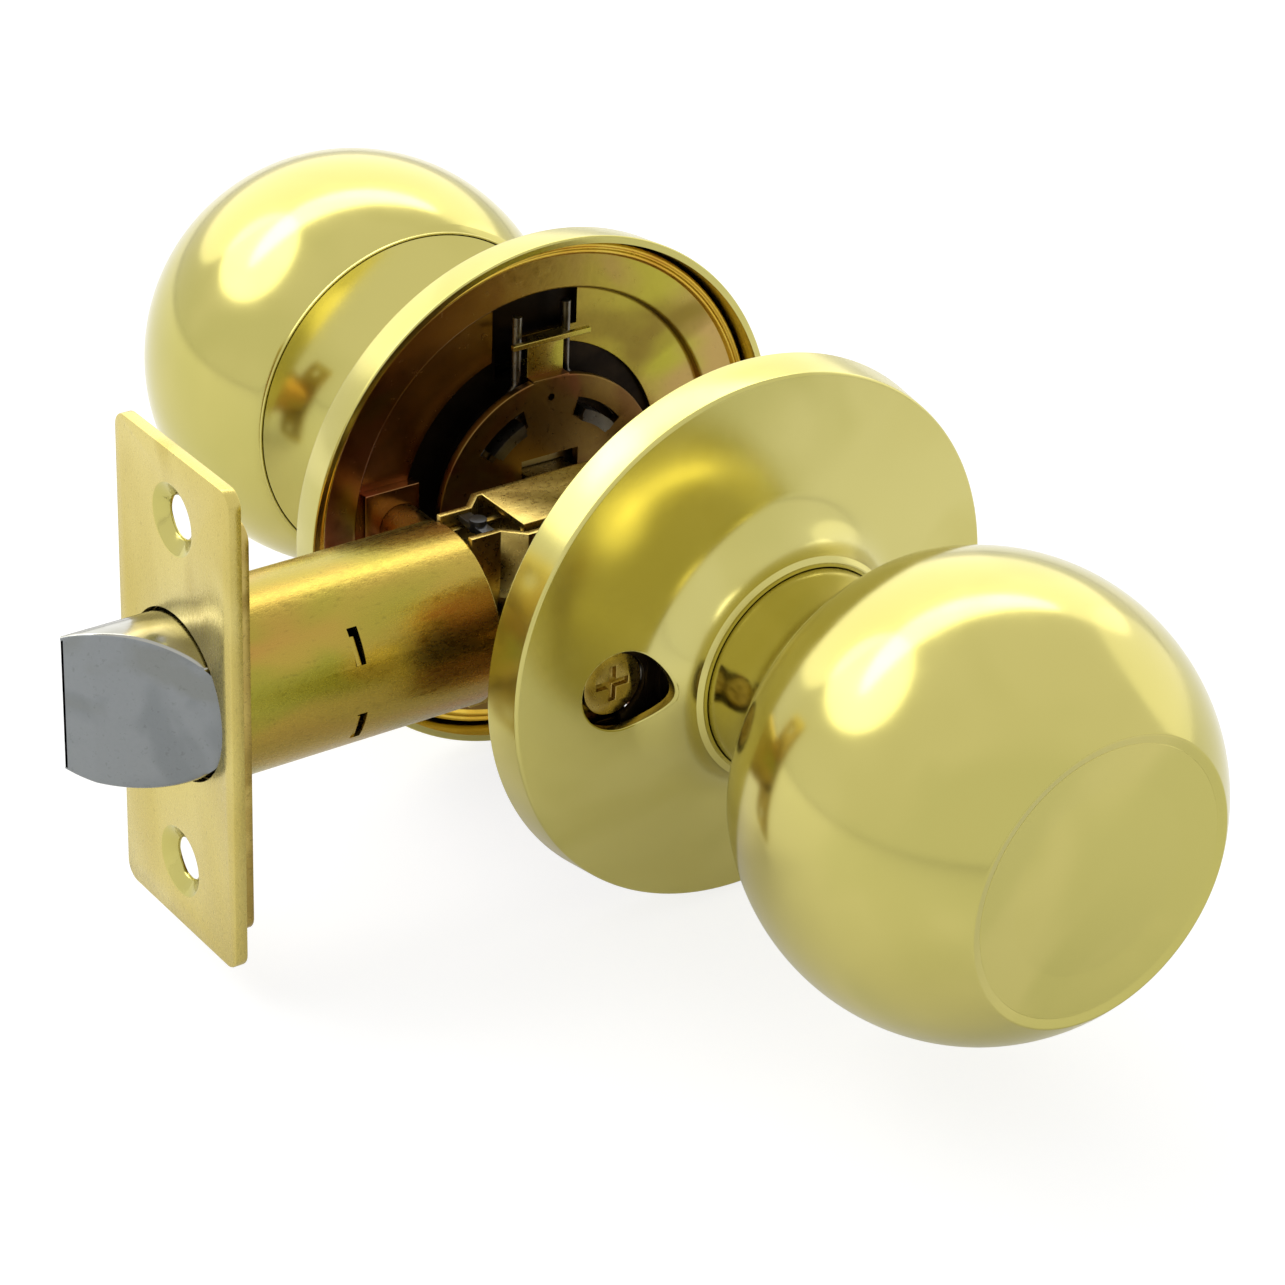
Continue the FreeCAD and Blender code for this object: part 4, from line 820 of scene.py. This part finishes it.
for side in ("outside", "inside"):
    mounting_plate(side)
    spring_cup(side)
    bush(side)
    return_spring(side)
    shank(side)
    driver(side)
    hub(side)


# ---- latch ----

TONGUE_LEANS = (30, -25)  # degrees round the tube
SINK_AT, SINK_WIDE, BOLT_TRAVEL = 21.0, 4.4, 11.5


def latch_tube():
    """The tube with two slots, a pressed tongue in each."""
    radius, wall, front, end = 10.55, 0.8, -57.5, -25.2
    form = spun(eased([(radius - wall, front), (radius - wall, end, 0.2), (radius, end, 0.3),
                       (radius, front)]), along="x", steps=160)
    hinge = Vector((-43.1, -10.2, -2.6)) * MM
    lift = Matrix.Rotation(math.radians(-3), 3, "X")
    tongues = []
    for lean in TONGUE_LEANS:
        turn = Matrix.Rotation(math.radians(-lean), 3, "X")
        slot = slab((-43.6, -42.35), (-11.6, -8.9), (-2.1, 2.1))
        bmesh.ops.rotate(slot, cent=(0, 0, 0), matrix=turn, verts=slot.verts)
        form = carved(form, slot)
        tongue = slab((-43.45, -42.75), (-10.2, -9.6), (-2.6, 1.2), 0.15)
        bmesh.ops.rotate(tongue, cent=hinge, matrix=lift, verts=tongue.verts)
        bmesh.ops.rotate(tongue, cent=(0, 0, 0), matrix=turn, verts=tongue.verts)
        tongues.append(tongue)
    return dress(made("drawn_tube", joined(form, *tongues), "frame", "zinc_yellow", "latch_tube"), ZINC)


def latch_bolt():
    """Bolt with a flat back, a ramp that eases off towards the nose, and a bore for its spring."""
    radius, tip, rear, root, back = 9.35, -71.5, -48.5, -60.35, 4.6
    bore, bore_end = 5.0, -61.5
    bend_at, nose_at = (-69.0, 1.66), (tip, 4.1)
    form = carved(rod(radius, tip, rear, "x", segments=160),
                  slab((tip - 1, root), (back, radius + 1), (-radius - 1, radius + 1)),
                  rod(bore, bore_end, rear + 1, "x"))
    for start, stop in (((root, -radius - 0.01), bend_at), (bend_at, nose_at)):
        facing = Vector((stop[1] - start[1], start[0] - stop[0], 0)).normalized()
        if facing.y > 0:
            facing = -facing
        cut = bmesh.ops.bisect_plane(form, geom=form.verts[:] + form.edges[:] + form.faces[:],
                                     plane_co=Vector((*start, 0)) * MM, plane_no=facing,
                                     clear_outer=True)
        rim = [item for item in cut["geom_cut"] if isinstance(item, bmesh.types.BMEdge)]
        for face in bmesh.ops.contextual_create(form, geom=rim)["faces"]:
            face.material_index = 1
    bmesh.ops.recalc_face_normals(form, faces=form.faces)
    sharp = [edge for edge in form.edges if len(edge.link_faces) == 2
             and edge.calc_face_angle(0) > math.radians(5)
             and min(face.calc_area() for face in edge.link_faces) > 1e-7]
    bmesh.ops.bevel(form, geom=[e for e in sharp if e.calc_face_angle(0) > math.radians(25)
                                and e.verts[0].co.x < root * MM],
                    offset=0.5 * MM, segments=4, profile=0.5, affect="EDGES", material=-1)
    return dress(made("bolt_head", form, "bolt", "bolt_nickel", "latch_bolt"), CHROME, SANDED)


latch_tube()
latch_bolt()


def shine_sinks(form):
    """Give the walls of the faceplate's two countersinks the second material."""
    for face in form.faces:
        middle = face.calc_center_median() / MM
        near = math.hypot(middle.y, abs(middle.z) - SINK_AT) < SINK_WIDE
        face.material_index = 1 if near and abs(face.normal.x) < 0.97 else 0


# Each row: the CAD node, the piece, its slot, its finish and how far its edges are eased.
COPIES = [
    ("latch_faceplate", "edge_plate", "satin_brass", SATIN, 0.18),
    ("latch_backplate", "second_plate", "dark_steel", CASE, 0.1),
    ("case_far_half", "far_case", "zinc_yellow", CASE, 0.1),
    ("case_near_half", "near_case", "zinc_yellow", CASE, 0.1),
    ("spring_seat", "seat_disc", "zinc_yellow", CASE, 0.1),
    ("retractor", "fork", "zinc_yellow", CASE, 0.08),
    ("latch_cam", "cam", "grey_steel", STEEL, 0.1),
    ("draw_bar", "bar", "grey_steel", STEEL, 0.1),
    ("bolt_pin", "cross_pin", "grey_steel", STEEL, 0.05),
    ("spindle", "square_bar", "zinc_yellow", CASE, 0.25),
    ("mounting_screws", "machine_screws", "zinc_yellow", CASE, 0.1),
    ("outside_posts", "threaded_posts", "zinc_yellow", CASE, 0.12),
    ("case_rivets", "tail_rivets", "zinc_yellow", CASE, 0.1),
    ("bridge_studs", "black_studs", "black_oxide", BLACK, 0.15),
    ("outside_retaining_ring", "outside_snap_ring", "grey_steel", STEEL, 0.08),
    ("inside_retaining_ring", "inside_snap_ring", "grey_steel", STEEL, 0.08),
    ("bolt_spring", "coil_in_bolt", "spring_steel", WIRE, 0.0),
]
for node, name, slot, material, ease in COPIES:
    form = copied(node, ease)
    materials = [material]
    if node == "latch_faceplate":
        shine_sinks(form)
        materials.append(BRASS)
    piece = dress(made(name, form, NODES[node]["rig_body"], slot, node), *materials)
    if node == "bolt_spring":
        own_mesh(piece)


# ---- lights and floor ----

FLOOR_HALF, FLOOR_GAP = 6, 0.0005  # metres
FLOOR_BOUNCE, FLOOR_SHEEN = 0.8, 0.22
FLOOR_SEEN_GLOW, FLOOR_SEEN_SHADE = 0.80, 0.33


def aimed(bearing, height, distance):
    """A place at a bearing from +X towards +Y and a height above level, both in degrees."""
    bearing, height = math.radians(bearing), math.radians(height)
    level = distance * math.cos(height)
    return (level * math.cos(bearing), level * math.sin(bearing), distance * math.sin(height))


def softbox(name, bearing, height, distance, size, glow):
    """A lamp whose face shines glow times as bright as the white backdrop."""
    lamp(name, aimed(bearing, height, distance), size, glow * math.pi * size[0] * size[1])


# Bearing and height in degrees, distance and size in metres.
softbox("back softbox", 64, 32, 1.3, (2.9, 1.2), 0.7)
softbox("high strip", 80, 58, 1.3, (2.2, 0.3), 2.6)
softbox("left softbox", 132, 44, 1.3, (1.1, 0.9), 1.6)
softbox("side softbox", 0, 15, 1.3, (1.0, 1.0), 0.35)


def floor():
    """A pale floor that glows to the camera, so that only a soft shadow shows, and sheds light."""
    form = bmesh.new()
    bmesh.ops.create_grid(form, x_segments=1, y_segments=1, size=FLOOR_HALF)
    bmesh.ops.translate(form, vec=(0, 0, CAD_BOX[0].z - FLOOR_GAP), verts=form.verts)
    mesh = bpy.data.meshes.new("floor")
    form.to_mesh(mesh)
    form.free()
    item = bpy.data.objects.new("floor", mesh)
    bpy.context.scene.collection.objects.link(item)
    material = bpy.data.materials.new("pale floor")
    material.use_nodes = True
    tree = material.node_tree
    tree.nodes.clear()
    path = tree.nodes.new("ShaderNodeLightPath")
    plain = tree.nodes.new("ShaderNodeBsdfDiffuse")
    plain.inputs["Color"].default_value = (FLOOR_BOUNCE,) * 3 + (1,)
    shadowed = tree.nodes.new("ShaderNodeBsdfDiffuse")
    shadowed.inputs["Color"].default_value = (FLOOR_SEEN_SHADE,) * 3 + (1,)
    glow = tree.nodes.new("ShaderNodeEmission")
    glow.inputs["Strength"].default_value = FLOOR_SEEN_GLOW
    seen = tree.nodes.new("ShaderNodeAddShader")
    tree.links.new(glow.outputs[0], seen.inputs[0])
    tree.links.new(shadowed.outputs[0], seen.inputs[1])
    sheen = tree.nodes.new("ShaderNodeEmission")
    glossy = tree.nodes.new("ShaderNodeMath")
    glossy.operation = "MULTIPLY"
    glossy.inputs[1].default_value = FLOOR_SHEEN
    tree.links.new(path.outputs["Is Glossy Ray"], glossy.inputs[0])
    tree.links.new(glossy.outputs[0], sheen.inputs["Strength"])
    unseen = tree.nodes.new("ShaderNodeAddShader")
    tree.links.new(plain.outputs[0], unseen.inputs[0])
    tree.links.new(sheen.outputs[0], unseen.inputs[1])
    mix = tree.nodes.new("ShaderNodeMixShader")
    tree.links.new(path.outputs["Is Camera Ray"], mix.inputs[0])
    tree.links.new(unseen.outputs[0], mix.inputs[1])
    tree.links.new(seen.outputs[0], mix.inputs[2])
    out = tree.nodes.new("ShaderNodeOutputMaterial")
    tree.links.new(mix.outputs[0], out.inputs["Surface"])
    mesh.materials.append(material)


floor()
